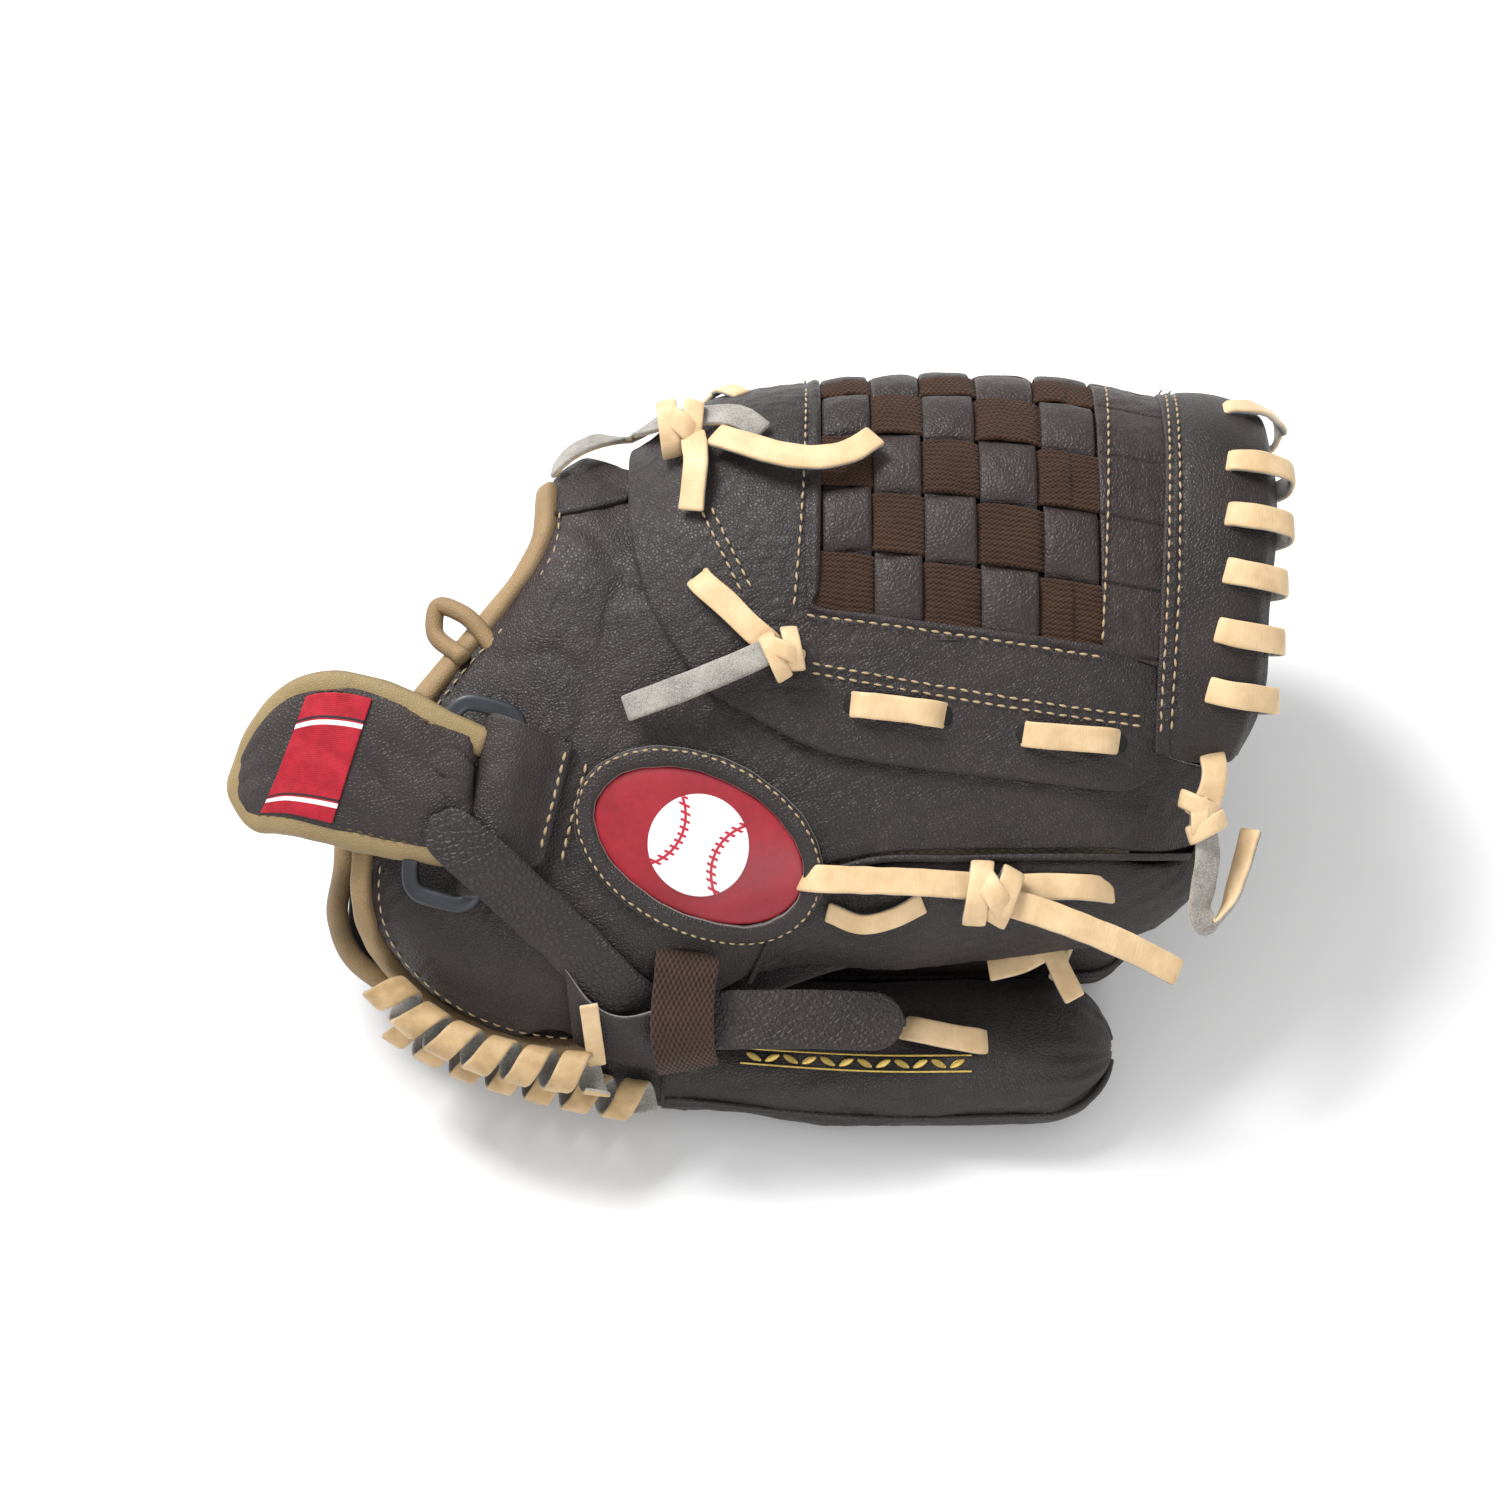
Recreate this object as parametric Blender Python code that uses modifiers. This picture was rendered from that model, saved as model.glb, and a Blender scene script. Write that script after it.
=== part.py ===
"""Left-hand baseball glove, closed and lying on the backs of its fingers.

Design frame: u runs along the fingers, v up the thumb's face and w out of that face.
The frame leans back about the world X axis, so the glove rests on its finger backs.
All sizes are in metres.
"""
import math
from functools import lru_cache

import bmesh
import bpy
import numpy as np
from mathutils import Matrix, Vector

# Frame
LEAN = math.radians(35.0)                 # how far the thumb's face leans back
SEAT = Vector((-0.0012, -0.1245, 0.0303))  # the design frame's origin in the world

# Skin: the outer surface from the thumb's lower edge, over the web, to the index finger
LOWER_EDGE = ((-0.130, 0.058), (-0.116, 0.052), (-0.096, 0.036), (-0.072, 0.026), (-0.046, 0.025),
              (-0.020, 0.036), (-0.003, 0.0455), (0.033, 0.0489), (0.072, 0.052), (0.102, 0.0565),
              (0.129, 0.067), (0.1375, 0.080), (0.157, 0.088))
CREST = ((-0.130, 0.152), (-0.096, 0.157), (-0.078, 0.176), (-0.0635, 0.203), (-0.036, 0.208),
         (-0.018, 0.2205), (0.021, 0.2278), (0.057, 0.2298), (0.099, 0.2272), (0.123, 0.2222),
         (0.1437, 0.2190), (0.157, 0.2110))
FRONT = ((-0.130, -0.004), (-0.110, 0.000), (-0.060, 0.006), (0.000, 0.013), (0.060, 0.014),
         (0.110, 0.011), (0.130, 0.007), (0.157, 0.002))
BACK = ((-0.130, -0.092), (-0.060, -0.113), (0.000, -0.121), (0.060, -0.124), (0.110, -0.118),
        (0.157, -0.104))
SHOULDER = 0.42          # share of the height where the arch over the top begins
ARCH_POWER = 2.4
ROLL = 0.026             # how far the lower edge turns in
TIP_START, TIP_FALL, TIP_HEIGHT = 0.106, 0.016, 0.128

# Thicknesses and places across the skin
LEATHER = 0.0022
GAP = 0.0009
OVER_PANEL = GAP + LEATHER / 2            # a layer's middle, on top of the panels
OVER_TONGUE = OVER_PANEL + LEATHER + GAP
LACE_WIDTH, LACE_THICK = 0.0072, 0.0016
STALL_WALL = 0.0035
RING_POINTS = 14
BINDING_RADIUS = 0.0038

# Joints
POCKET_AXIS = (Vector((-0.130, 0.120, -0.060)), Vector((0.100, 0.163, -0.1165)))
RING_CENTRE = Vector((-0.0878, 0.1010, 0.0066))
RING_UP, RING_ACROSS = Vector((0.258, 0.966, 0.0)), Vector((0.966, -0.258, 0.06))
RING_HALF_HEIGHT, RING_HALF_WIDTH, RING_BAR = 0.0290, 0.0115, 0.0020
PULL_TAB_ROOT = Vector((-0.0113, 0.0360, 0.0010))
FINGER_PIECES = ("index_stall", "middle_stall", "ring_stall", "pinkie_stall", "hand_back_shell",
                 "palm_finger_side", "heel_pad_pinkie", "open_back_binding_far", "wrist_entry_binding",
                 "index_web_flange", "index_web_lace", "finger_tip_lace", "pinkie_lace",
                 "pinkie_heel_lace")
STRAP_PIECES = ("buckle_ring", "wrist_pad", "wrist_label")

# Web
STRAP_PLACES = (0.0238, 0.0402, 0.0566, 0.0730, 0.0894)   # u of the woven straps' middles
WEAVE_LIFT, WEAVE_SWING = 0.0016, 0.0006
RIM_HOLE = 0.0036

COLOURS = {
    "leather": (0.045, 0.036, 0.034, 0.0, 0.55),
    "palm": (0.030, 0.024, 0.023, 0.0, 0.60),
    "lace": (0.74, 0.53, 0.30, 0.0, 0.60),
    "binding": (0.40, 0.27, 0.13, 0.0, 0.70),
    "knit": (0.060, 0.030, 0.018, 0.0, 0.90),
    "red": (0.45, 0.015, 0.035, 0.0, 0.40),
    "white": (0.85, 0.85, 0.85, 0.0, 0.45),
    "plastic": (0.02, 0.023, 0.028, 0.0, 0.35),
    "felt": (0.35, 0.30, 0.24, 0.0, 0.95),
}


def smooth(table, x):
    """Read a short table of (place, value) pairs as a smooth curve, level beyond its ends."""
    xs, ys = np.array(table).T
    slopes = np.gradient(ys, xs)
    x = np.clip(x, xs[0], xs[-1])
    i = np.clip(np.searchsorted(xs, x) - 1, 0, len(xs) - 2)
    step = xs[i + 1] - xs[i]
    t = (x - xs[i]) / step
    return ((2 * t**3 - 3 * t**2 + 1) * ys[i] + (t**3 - 2 * t**2 + t) * step * slopes[i]
            + (3 * t**2 - 2 * t**3) * ys[i + 1] + (t**3 - t**2) * step * slopes[i + 1])


def ease(x):
    """Smooth step from 0 to 1."""
    x = np.clip(x, 0.0, 1.0)
    return x * x * (3 - 2 * x)


@lru_cache(maxsize=None)
def profile(u):
    """The skin's section at u: arc length from the crest (the near side negative), v and w."""
    low, top = smooth(LOWER_EDGE, u), smooth(CREST, u)
    front, back = smooth(FRONT, u), smooth(BACK, u)
    shoulder = low + SHOULDER * (top - low)
    tip = ease((u - TIP_START) / 0.034)
    rise = np.linspace(0.0, 1.0, 24)
    turn = np.linspace(0.0, math.pi, 81)[1:]
    across, up = np.cos(turn), np.sin(turn)
    v = np.concatenate([low + rise * (shoulder - low),
                        shoulder + (top - shoulder) * np.abs(up) ** (2 / ARCH_POWER)])
    w = np.concatenate([front - ROLL * (1 - 0.5 * tip) * (1 - rise) ** 4,
                        (front + back) / 2 + (front - back) / 2 * np.sign(across)
                        * np.abs(across) ** (2 / ARCH_POWER)])
    on_near_side = np.arange(len(v)) < np.argmax(v)
    w = w - np.where(on_near_side, TIP_FALL * tip * ease((TIP_HEIGHT - v) / 0.03), 0.0)
    arc = np.concatenate([[0.0], np.cumsum(np.hypot(np.diff(v), np.diff(w)))])
    return arc - arc[np.argmax(v)], v, w


def near(u, v):
    """Skin coordinates (u, arc) of the near side's point at height v."""
    arc, heights, _ = profile(round(u, 5))
    crest = int(np.argmax(heights)) + 1
    return u, float(np.interp(v, heights[:crest], arc[:crest]))


def on_skin(u, arc, out=0.0):
    """Point at skin coordinates (u, arc), moved out of the surface, and the normal there."""
    def raw(a, b):
        arcs, v, w = profile(round(a, 5))
        return np.array([a, np.interp(b, arcs, v), np.interp(b, arcs, w)])
    step = 0.0015
    normal = np.cross(raw(u + step, arc) - raw(u - step, arc), raw(u, arc + step) - raw(u, arc - step))
    normal = Vector(normal).normalized()
    return Vector(raw(u, arc)) + normal * out, normal


def resample(points, count):
    """Points spread evenly along a smooth curve through the given ones."""
    points = np.array([tuple(p) for p in points], float)
    run = np.concatenate([[0.0], np.cumsum(np.linalg.norm(np.diff(points, axis=0), axis=1))])
    at = np.linspace(0.0, run[-1], count)
    if len(points) < 3:
        return np.array([np.interp(at, run, points[:, i]) for i in range(points.shape[1])]).T
    return np.array([smooth(np.column_stack([run, points[:, i]]), at)
                     for i in range(points.shape[1])]).T


# Objects -----------------------------------------------------------------------------------

def clear_scene():
    """Remove what the scene holds."""
    for obj in list(bpy.data.objects):
        bpy.data.objects.remove(obj, do_unlink=True)


def material(name):
    """The named plain finish."""
    found = bpy.data.materials.get(name)
    if found:
        return found
    red, green, blue, metal, rough = COLOURS[name]
    made = bpy.data.materials.new(name)
    made.use_nodes = True
    shader = made.node_tree.nodes["Principled BSDF"]
    shader.inputs["Base Color"].default_value = (red, green, blue, 1.0)
    shader.inputs["Metallic"].default_value = metal
    shader.inputs["Roughness"].default_value = rough
    return made


def add(name, data, finish):
    """Put an object in the glove's collection, on the leaning frame."""
    obj = bpy.data.objects.new(name, data)
    GLOVE.objects.link(obj)
    obj.parent = FRAME
    data.materials.append(material(finish))
    return obj


def grid_mesh(name, rows, wrap=False, close_tip=False):
    """Quads over a grid of points. wrap joins each row's ends; close_tip fills the last row."""
    bm = bmesh.new()
    grid = [[bm.verts.new(p) for p in row] for row in rows]
    count = len(rows[0])
    for first, second in zip(grid, grid[1:]):
        for i in range(count if wrap else count - 1):
            j = (i + 1) % count
            bm.faces.new((first[i], first[j], second[j], second[i]))
    if close_tip:
        bm.faces.new(grid[-1])
    bmesh.ops.remove_doubles(bm, verts=bm.verts, dist=0.00002)
    bmesh.ops.recalc_face_normals(bm, faces=bm.faces)
    mesh = bpy.data.meshes.new(name)
    bm.to_mesh(mesh)
    bm.free()
    mesh.shade_smooth()
    return mesh


def thicken(obj, thickness, offset):
    """Give an open surface its wall: offset -1 inward, 0 both ways."""
    wall = obj.modifiers.new("wall", "SOLIDIFY")
    wall.thickness = thickness
    wall.offset = offset
    wall.use_even_offset = True


def seat_row(points):
    """Lift any point that is below the surface that the glove rests on."""
    up = Vector((0.0, math.sin(LEAN), math.cos(LEAN)))
    return [p + up * max(0.0, -(p.dot(up) + SEAT.z)) for p in points]


def sheet(name, finish, rows, thickness=LEATHER):
    """A leather sheet over a grid of points that lie in its middle."""
    obj = add(name, grid_mesh(name, rows), finish)
    thicken(obj, thickness, 0.0)
    return obj


def patch(name, finish, lower, upper, out, columns, rows, thickness=LEATHER):
    """A sheet on the skin between two edges, which are lists of skin coordinates."""
    low, high = resample(lower, columns), resample(upper, columns)
    grid = [[on_skin(*(a + (b - a) * t), out)[0] for a, b in zip(low, high)]
            for t in np.linspace(0.0, 1.0, rows)]
    return sheet(name, finish, grid, thickness)


def disc(name, finish, centre, radii, tilt, out, thickness, inner=0.0, rings=3, around=20):
    """An oval plate on the near skin, or a flat oval ring where inner is above 0."""
    rows = []
    for share in np.linspace(1.0, inner, rings):
        row = []
        for k in range(around):
            angle = math.tau * k / around
            along, side = share * radii[0] * math.cos(angle), share * radii[1] * math.sin(angle)
            u = centre[0] + along * math.cos(tilt) - side * math.sin(tilt)
            v = centre[1] + along * math.sin(tilt) + side * math.cos(tilt)
            row.append(on_skin(*near(u, v), out)[0])
        rows.append(row)
    obj = add(name, grid_mesh(name, rows, wrap=True), finish)
    thicken(obj, thickness, 0.0)
    return obj


def ribbon(name, finish, points, normals, width, thickness, count=8):
    """A flat strap along a smooth path; the normals say which way its face looks."""
    path = resample(points, count)
    looks = np.array([tuple(n) for n in normals], float)
    at = np.linspace(0, len(looks) - 1, count)
    ups = np.array([np.interp(at, range(len(looks)), looks[:, i]) for i in range(3)]).T
    rows = []
    for i, (point, up) in enumerate(zip(path, ups)):
        ahead = Vector(path[min(i + 1, count - 1)] - path[max(i - 1, 0)])
        side = ahead.cross(Vector(up)).normalized() * width / 2
        rows.append([Vector(point) - side, Vector(point) + side])
    return sheet(name, finish, rows, thickness)


def lace(name, stops, count=7, width=LACE_WIDTH, thickness=LACE_THICK, finish="lace"):
    """A lace or strap on the near skin through (u, v, out) stops."""
    placed = [on_skin(*near(u, v), out) for u, v, out in stops]
    return ribbon(name, finish, [p for p, _ in placed], [n for _, n in placed], width, thickness, count)


def tube(name, finish, points, radius, count, closed=False):
    """A round cord through the points."""
    data = bpy.data.curves.new(name, "CURVE")
    data.dimensions = "3D"
    data.bevel_depth = radius
    data.bevel_resolution = 2
    data.use_fill_caps = not closed
    path = resample(points, count)
    if closed:
        path = path[:-1]
    spline = data.splines.new("POLY")
    spline.points.add(len(path) - 1)
    spline.use_cyclic_u = closed
    for point, place in zip(spline.points, path):
        point.co = (*place, 1.0)
    return add(name, data, finish)


def knot(name, centre, size, out):
    """A lace knot as a rounded block on the near skin."""
    point, normal = on_skin(*near(*centre), out)
    bm = bmesh.new()
    bmesh.ops.create_uvsphere(bm, u_segments=10, v_segments=6, radius=0.5)
    bm.transform(Matrix.Translation(point) @ normal.to_track_quat("Z", "Y").to_matrix().to_4x4()
                 @ Matrix.Diagonal((*size, 1.0)))
    mesh = bpy.data.meshes.new(name)
    bm.to_mesh(mesh)
    bm.free()
    mesh.shade_smooth()
    return add(name, mesh, "lace")


def oval_row(u, v, w, half_width, half_thick, tilt, power=2.5):
    """One section of a finger stall, square to u; tilt turns its width from v towards -w."""
    row = []
    for k in range(RING_POINTS):
        angle = math.tau * (k + 0.5) / RING_POINTS
        across, out = math.cos(angle), math.sin(angle)
        a = half_width * math.copysign(abs(across) ** (2 / power), across)
        b = half_thick * math.copysign(abs(out) ** (2 / power), out)
        row.append(Vector((u, v + a * math.cos(tilt) + b * math.sin(tilt),
                           w - a * math.sin(tilt) + b * math.cos(tilt))))
    return row


def stall(name, finish, sections, tip, wall=STALL_WALL):
    """A hollow finger stall, open at its base, with a round tip that is tip long.

    A section holds u, v, w, half width, half thickness and tilt in degrees.
    """
    table = np.array(sections, float)
    rows = []
    for u in np.linspace(table[0, 0], table[-1, 0], 7):
        values = [float(smooth(table[:, (0, i)], u)) for i in range(1, 6)]
        rows.append(oval_row(u, *values[:4], math.radians(values[4])))
    last = table[-1]
    for degrees in (25, 48, 68, 84):
        turn = math.radians(degrees)
        rows.append(oval_row(last[0] + tip * math.sin(turn), last[1], last[2],
                             last[3] * math.cos(turn), last[4] * math.cos(turn), math.radians(last[5])))
    rows = [seat_row(row) for row in rows]
    obj = add(name, grid_mesh(name, rows, wrap=True, close_tip=True), finish)
    thicken(obj, wall, -1.0)
    return obj


def wall_rows(sections, columns, rows):
    """Grid through sections (u, ((v, w), ...)) that all have the same number of points."""
    lines = [resample([(u, v, w) for v, w in points], rows) for u, points in sections]
    return [[Vector(p) for p in resample([line[i] for line in lines], columns)] for i in range(rows)]


# Fingers half ------------------------------------------------------------------------------

def make_fingers():
    """Four finger stalls, side by side from the web down to the front."""
    stall("index_stall", "leather", ((-0.030, 0.1395, -0.0950, 0.0200, 0.0165, 18),
                                     (0.050, 0.1405, -0.0985, 0.0200, 0.0165, 14),
                                     (0.126, 0.140, -0.0940, 0.0165, 0.0140, 12)), 0.016)
    stall("middle_stall", "leather", ((-0.030, 0.1000, -0.0840, 0.0200, 0.0165, 35),
                                      (0.050, 0.1000, -0.0868, 0.0200, 0.0170, 35),
                                      (0.119, 0.0990, -0.0868, 0.0170, 0.0160, 33)), 0.017)
    stall("ring_stall", "leather", ((-0.030, 0.0630, -0.0600, 0.0195, 0.0165, 35),
                                    (0.040, 0.0625, -0.0614, 0.0195, 0.0165, 35),
                                    (0.100, 0.0610, -0.0595, 0.0170, 0.0150, 37)), 0.016)
    stall("pinkie_stall", "leather", ((-0.030, 0.0270, -0.0355, 0.0195, 0.0150, 35),
                                      (0.035, 0.0235, -0.0357, 0.0225, 0.0165, 35),
                                      (0.086, 0.0250, -0.0330, 0.0225, 0.0165, 32)), 0.0215)


def make_hand():
    """The hand's outer wall on the finger side, its palm and its heel."""
    outer = ((-0.128, ((0.058, -0.034), (0.064, -0.050), (0.082, -0.064), (0.098, -0.069), (0.112, -0.067),
                       (0.124, -0.060))),
             (-0.100, ((0.036, -0.034), (0.043, -0.054), (0.068, -0.078), (0.094, -0.089), (0.116, -0.088),
                       (0.134, -0.078))),
             (-0.066, ((0.019, -0.031), (0.028, -0.053), (0.058, -0.080), (0.090, -0.100), (0.126, -0.108),
                       (0.160, -0.096))),
             (-0.032, ((0.009, -0.027), (0.019, -0.051), (0.052, -0.0775), (0.090, -0.102), (0.132, -0.118),
                       (0.164, -0.110))))
    rows = [seat_row(row) for row in wall_rows(outer, 9, 12)]
    sheet("hand_back_shell", "leather", [[p + Vector((0, 0.0011, 0.0016)) for p in row] for row in rows],
          0.0026)
    inner = ((-0.112, ((0.066, -0.0320), (0.080, -0.040), (0.098, -0.046), (0.114, -0.046))),
             (-0.080, ((0.044, -0.0350), (0.060, -0.045), (0.086, -0.058), (0.118, -0.064))),
             (-0.034, ((0.028, -0.0205), (0.054, -0.0400), (0.090, -0.064), (0.132, -0.080))))
    sheet("palm_finger_side", "palm", wall_rows(inner, 9, 7), 0.0024)
    pad = ((-0.100, ((0.056, -0.0435), (0.064, -0.049), (0.072, -0.054))),
           (-0.055, ((0.036, -0.0435), (0.047, -0.051), (0.058, -0.058))))
    sheet("heel_pad_pinkie", "felt", wall_rows(pad, 4, 3), 0.006)
    tube("open_back_binding_far", "binding",
         [(-0.131, 0.1285, -0.0560), (-0.102, 0.1395, -0.0730), (-0.080, 0.1530, -0.0835),
                                              (-0.060, 0.1685, -0.0920), (-0.040, 0.1720,
                                                                          -0.1020)], 0.0034, 16)
    tube("wrist_entry_binding", "binding",
         [(-0.1150, 0.0400, -0.0240), (-0.1330, 0.0560, -0.0240), (-0.1430, 0.0720, -0.0300),
                                            (-0.1440, 0.0880, -0.0480), (-0.1400, 0.1020,
                                                                         -0.0640), (-0.1350, 0.1160,
                                                                                    -0.0660)], 0.0034, 18)


def make_web_flange_far():
    """The index finger's side of the web seam: a flange and the lace that closes it."""
    low = [(u, 0.0755) for u in (-0.030, 0.050, 0.142)]
    high = [(u, 0.106) for u in (-0.030, 0.050, 0.142)]
    patch("index_web_flange", "leather", high, low, -0.0004, 13, 4)
    stops = []
    for k, u in enumerate(np.linspace(-0.020, 0.125, 15)):
        arc = 0.079 if k % 2 else 0.0885
        stops.append(on_skin(u, arc, 0.0042)[0])
    tube("index_web_lace", "lace", stops, 0.0022, 45)


# Thumb half --------------------------------------------------------------------------------

def make_thumb():
    """The thumb's leather panels, welt, inner stall and pocket side."""
    lower = [near(u, v) for u,
             v in ((-0.034, 0.0305), (-0.018, 0.0400), (-0.003, 0.0485), (0.0045, 0.063), (0.013, 0.078),
                                     (0.030, 0.0850), (0.080, 0.0870), (0.122, 0.0860), (0.1350, 0.092))]
    upper = [near(u, v) for u,
             v in ((-0.096, 0.136), (-0.078, 0.156), (-0.0655, 0.174), (-0.0625, 0.1925), (-0.036, 0.200),
                                     (-0.006, 0.180), (0.010, 0.148), (0.060, 0.136), (0.122, 0.118),
                                     (0.1365, 0.104))]
    patch("thumb_upper_panel", "leather", lower, upper, -LEATHER / 2, 21, 9)
    lower = [near(u, v) for u,
             v in ((0.001, 0.0490), (0.033, 0.0503), (0.072, 0.0534), (0.102, 0.0578), (0.126, 0.0680),
                   (0.134, 0.0800))]
    upper = [near(u, v) for u,
             v in ((0.0085, 0.062), (0.017, 0.076), (0.032, 0.0807), (0.080, 0.0826), (0.120, 0.0818),
                   (0.1345, 0.085))]
    patch("thumb_lower_panel", "leather", lower, upper, -LEATHER / 2, 15, 5)
    stops = [on_skin(*near(u, v), -0.0004)[0] for u,
             v in ((0.036, 0.0836), (0.050, 0.0843), (0.080, 0.0851), (0.113, 0.0846))]
    tube("thumb_welt", "leather", stops, 0.0008, 10)
    lower = [near(u, v) for u,
             v in ((-0.112, 0.062), (-0.097, 0.0425), (-0.074, 0.0315), (-0.050, 0.0290), (-0.038, 0.031))]
    upper = [near(u, v) for u,
             v in ((-0.114, 0.082), (-0.112, 0.0860), (-0.104, 0.108), (-0.098, 0.120), (-0.094, 0.122))]
    patch("thumb_base_panel", "leather", lower, upper, -LEATHER / 2, 9, 7)
    stall("thumb_liner", "felt",
          ((-0.044, 0.0900, -0.0098, 0.0250, 0.0085, 0), (0.000, 0.0930, -0.0055, 0.0240, 0.0105, 0),
                                  (0.050, 0.0950, -0.0048, 0.0230, 0.0110, 0),
                                  (0.095, 0.0945, -0.0085, 0.0195, 0.0090, 0)), 0.018, 0.0028)
    palm = ((-0.100, ((0.058, -0.0190), (0.080, -0.0215), (0.108, -0.0215))),
            (-0.050, ((0.030, -0.0175), (0.068, -0.0225), (0.120, -0.0240))),
            (0.030, ((0.0515, -0.0165), (0.090, -0.0205), (0.136, -0.0220))),
            (0.100, ((0.059, -0.0200), (0.092, -0.0240), (0.128, -0.0240))),
            (0.129, ((0.074, -0.0230), (0.094, -0.0260), (0.116, -0.0250))))
    sheet("palm_thumb_side", "palm", wall_rows(palm, 13, 6), 0.0024)
    pad = ((-0.094, ((0.058, -0.0110), (0.070, -0.0100), (0.084, -0.0095))),
           (-0.056, ((0.042, -0.0115), (0.058, -0.0100), (0.078, -0.0095))))
    sheet("heel_pad_thumb", "felt", wall_rows(pad, 4, 3), 0.006)


def make_bindings():
    """Tan bindings round the open back and the thumb's heel."""
    stops = [on_skin(*near(u, v), -0.0012)[0] for u,
             v in ((-0.101, 0.1395), (-0.082, 0.1595), (-0.0705, 0.175), (-0.0685, 0.1945))]
    tube("open_back_binding_near", "binding", stops, BINDING_RADIUS, 12)
    stops = [on_skin(*near(u, v), -0.0012)[0] for u,
             v in ((-0.1195, 0.084), (-0.1180, 0.062), (-0.1010, 0.0385), (-0.0745, 0.0268),
                   (-0.047, 0.0255))]
    tube("thumb_heel_binding", "binding", stops, 0.0032, 13)


def make_emblem():
    """The oval patch: padded border, red field and a plain white ball."""
    centre, tilt = (-0.018, 0.0889), math.radians(-25)
    disc("emblem_border", "leather", centre, (0.0378, 0.0252), tilt, 0.0016, 0.0020, inner=0.90, rings=2)
    disc("emblem_field", "red", centre, (0.0330, 0.0204), tilt, 0.0014, 0.0014)
    disc("emblem_ball", "white", centre, (0.0125, 0.0125), tilt, 0.0029, 0.0008, rings=2, around=16)


def make_web():
    """Tongue, woven straps over their knit layer, column, end band and its rim lace."""
    lower = [near(u, v) for u,
             v in ((-0.0395, 0.198), (-0.0385, 0.181), (-0.0335, 0.162), (-0.0207, 0.1407),
                   (-0.0114, 0.1317), (0.009, 0.1204))]
    upper = [(u, arc) for u,
             arc in ((-0.036, 0.012), (-0.028, 0.030), (-0.018, 0.048), (-0.006, 0.060), (0.004, 0.066),
                     (0.0100, 0.069))]
    patch("web_side_panel", "leather", lower, upper, OVER_PANEL + 0.0005, 9, 15)
    lower = [near(u, v) for u,
             v in ((0.0102, 0.1198), (0.0299, 0.1138), (0.0600, 0.1095), (0.0898, 0.1063),
                   (0.1160, 0.1072))]
    upper = [near(u, v) for u,
             v in ((0.0112, 0.1535), (0.0400, 0.1510), (0.0700, 0.1465), (0.0950, 0.1440),
                   (0.1153, 0.1425))]
    patch("web_lower_panel", "leather", lower, upper, OVER_PANEL, 12, 5)
    arcs = [near(u, 0.158 - 0.14 * (u - 0.02))[1] for u in STRAP_PLACES]
    patch("web_knit_layer", "knit", [(0.0168, arcs[0]), (0.0590, arcs[2]), (0.1010, arcs[4])],
          [(0.0168, 0.069), (0.0590, 0.070), (0.1010, 0.069)], -0.0014, 9, 15, 0.0018)
    for k, (u, arc) in enumerate(zip(STRAP_PLACES, arcs)):
        stops = [on_skin(u + 0.0007 * (j % 2), a, WEAVE_LIFT + WEAVE_SWING * (-1) ** (j + k)) for j, a in
                 enumerate(np.linspace(arc, 0.069, 13))]
        ribbon(f"web_leather_strap_{k + 1}", "leather", [p for p, _ in stops], [n for _, n in stops],
               0.0125, 0.0014, 19)
    low_arc = near(0.110, 0.1450)[1]
    patch("web_column_panel", "leather", [(0.1038, low_arc), (0.1140, low_arc)],
          [(0.1038, 0.068), (0.1140, 0.068)],
          OVER_PANEL, 3, 15)
    lower = [near(u, v) for u, v in ((0.1168, 0.1150), (0.1280, 0.1130), (0.1400, 0.1110))]
    upper = [(0.1200, 0.066), (0.1370, 0.064), (0.1535, 0.062)]
    band = patch("web_end_band", "leather", lower, upper, OVER_PANEL, 5, 15, 0.0030)
    lace_end_band(band)


def lace_end_band(band):
    """Six loops of lace over the band's rim, through holes cut in the band."""
    places = [(0.1412, 0.2120), (0.1405, 0.1965), (0.1395, 0.1812), (0.1375, 0.1650), (0.1345, 0.1485),
              (0.1310, 0.1320)]
    cutter_mesh = bmesh.new()
    stops = []
    for u, v in places:
        u, arc = near(u, v)
        hole, normal = on_skin(u, arc, OVER_PANEL)
        bmesh.ops.create_cone(cutter_mesh, cap_ends=True, segments=8, radius1=RIM_HOLE, radius2=RIM_HOLE,
                              depth=0.012,
                              matrix=(Matrix.Translation(hole)
                                      @ normal.to_track_quat("Z", "Y").to_matrix().to_4x4()))
        rim = 0.0130 - 0.010 * (0.2120 - v)
        stops += [on_skin(u, arc, -0.0030)[0], on_skin(u, arc, 0.0065)[0],
                  on_skin(u + rim * 0.7, arc - 0.001, 0.0067)[0], on_skin(u + rim + 0.0022, arc - 0.003,
                                                                          0.0018)[0],
                  on_skin(u + rim * 0.7, arc - 0.002, -0.0050)[0]]
    mesh = bpy.data.meshes.new("rim_lace_holes")
    cutter_mesh.to_mesh(mesh)
    cutter_mesh.free()
    cutter = bpy.data.objects.new("rim_lace_holes", mesh)
    CUTTERS.objects.link(cutter)
    cutter.parent = FRAME
    cutter.hide_render = True
    cutter.display_type = "WIRE"
    cut = band.modifiers.new("holes", "BOOLEAN")
    cut.object = cutter
    data = bpy.data.curves.new("web_rim_lace", "CURVE")
    data.dimensions = "3D"
    data.bevel_depth = 0.0021
    data.bevel_resolution = 2
    data.use_fill_caps = True
    spline = data.splines.new("POLY")
    spline.points.add(len(stops) - 1)
    for point, place in zip(spline.points, stops):
        point.co = (*place, 1.0)
    add("web_rim_lace", data, "lace")


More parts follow.
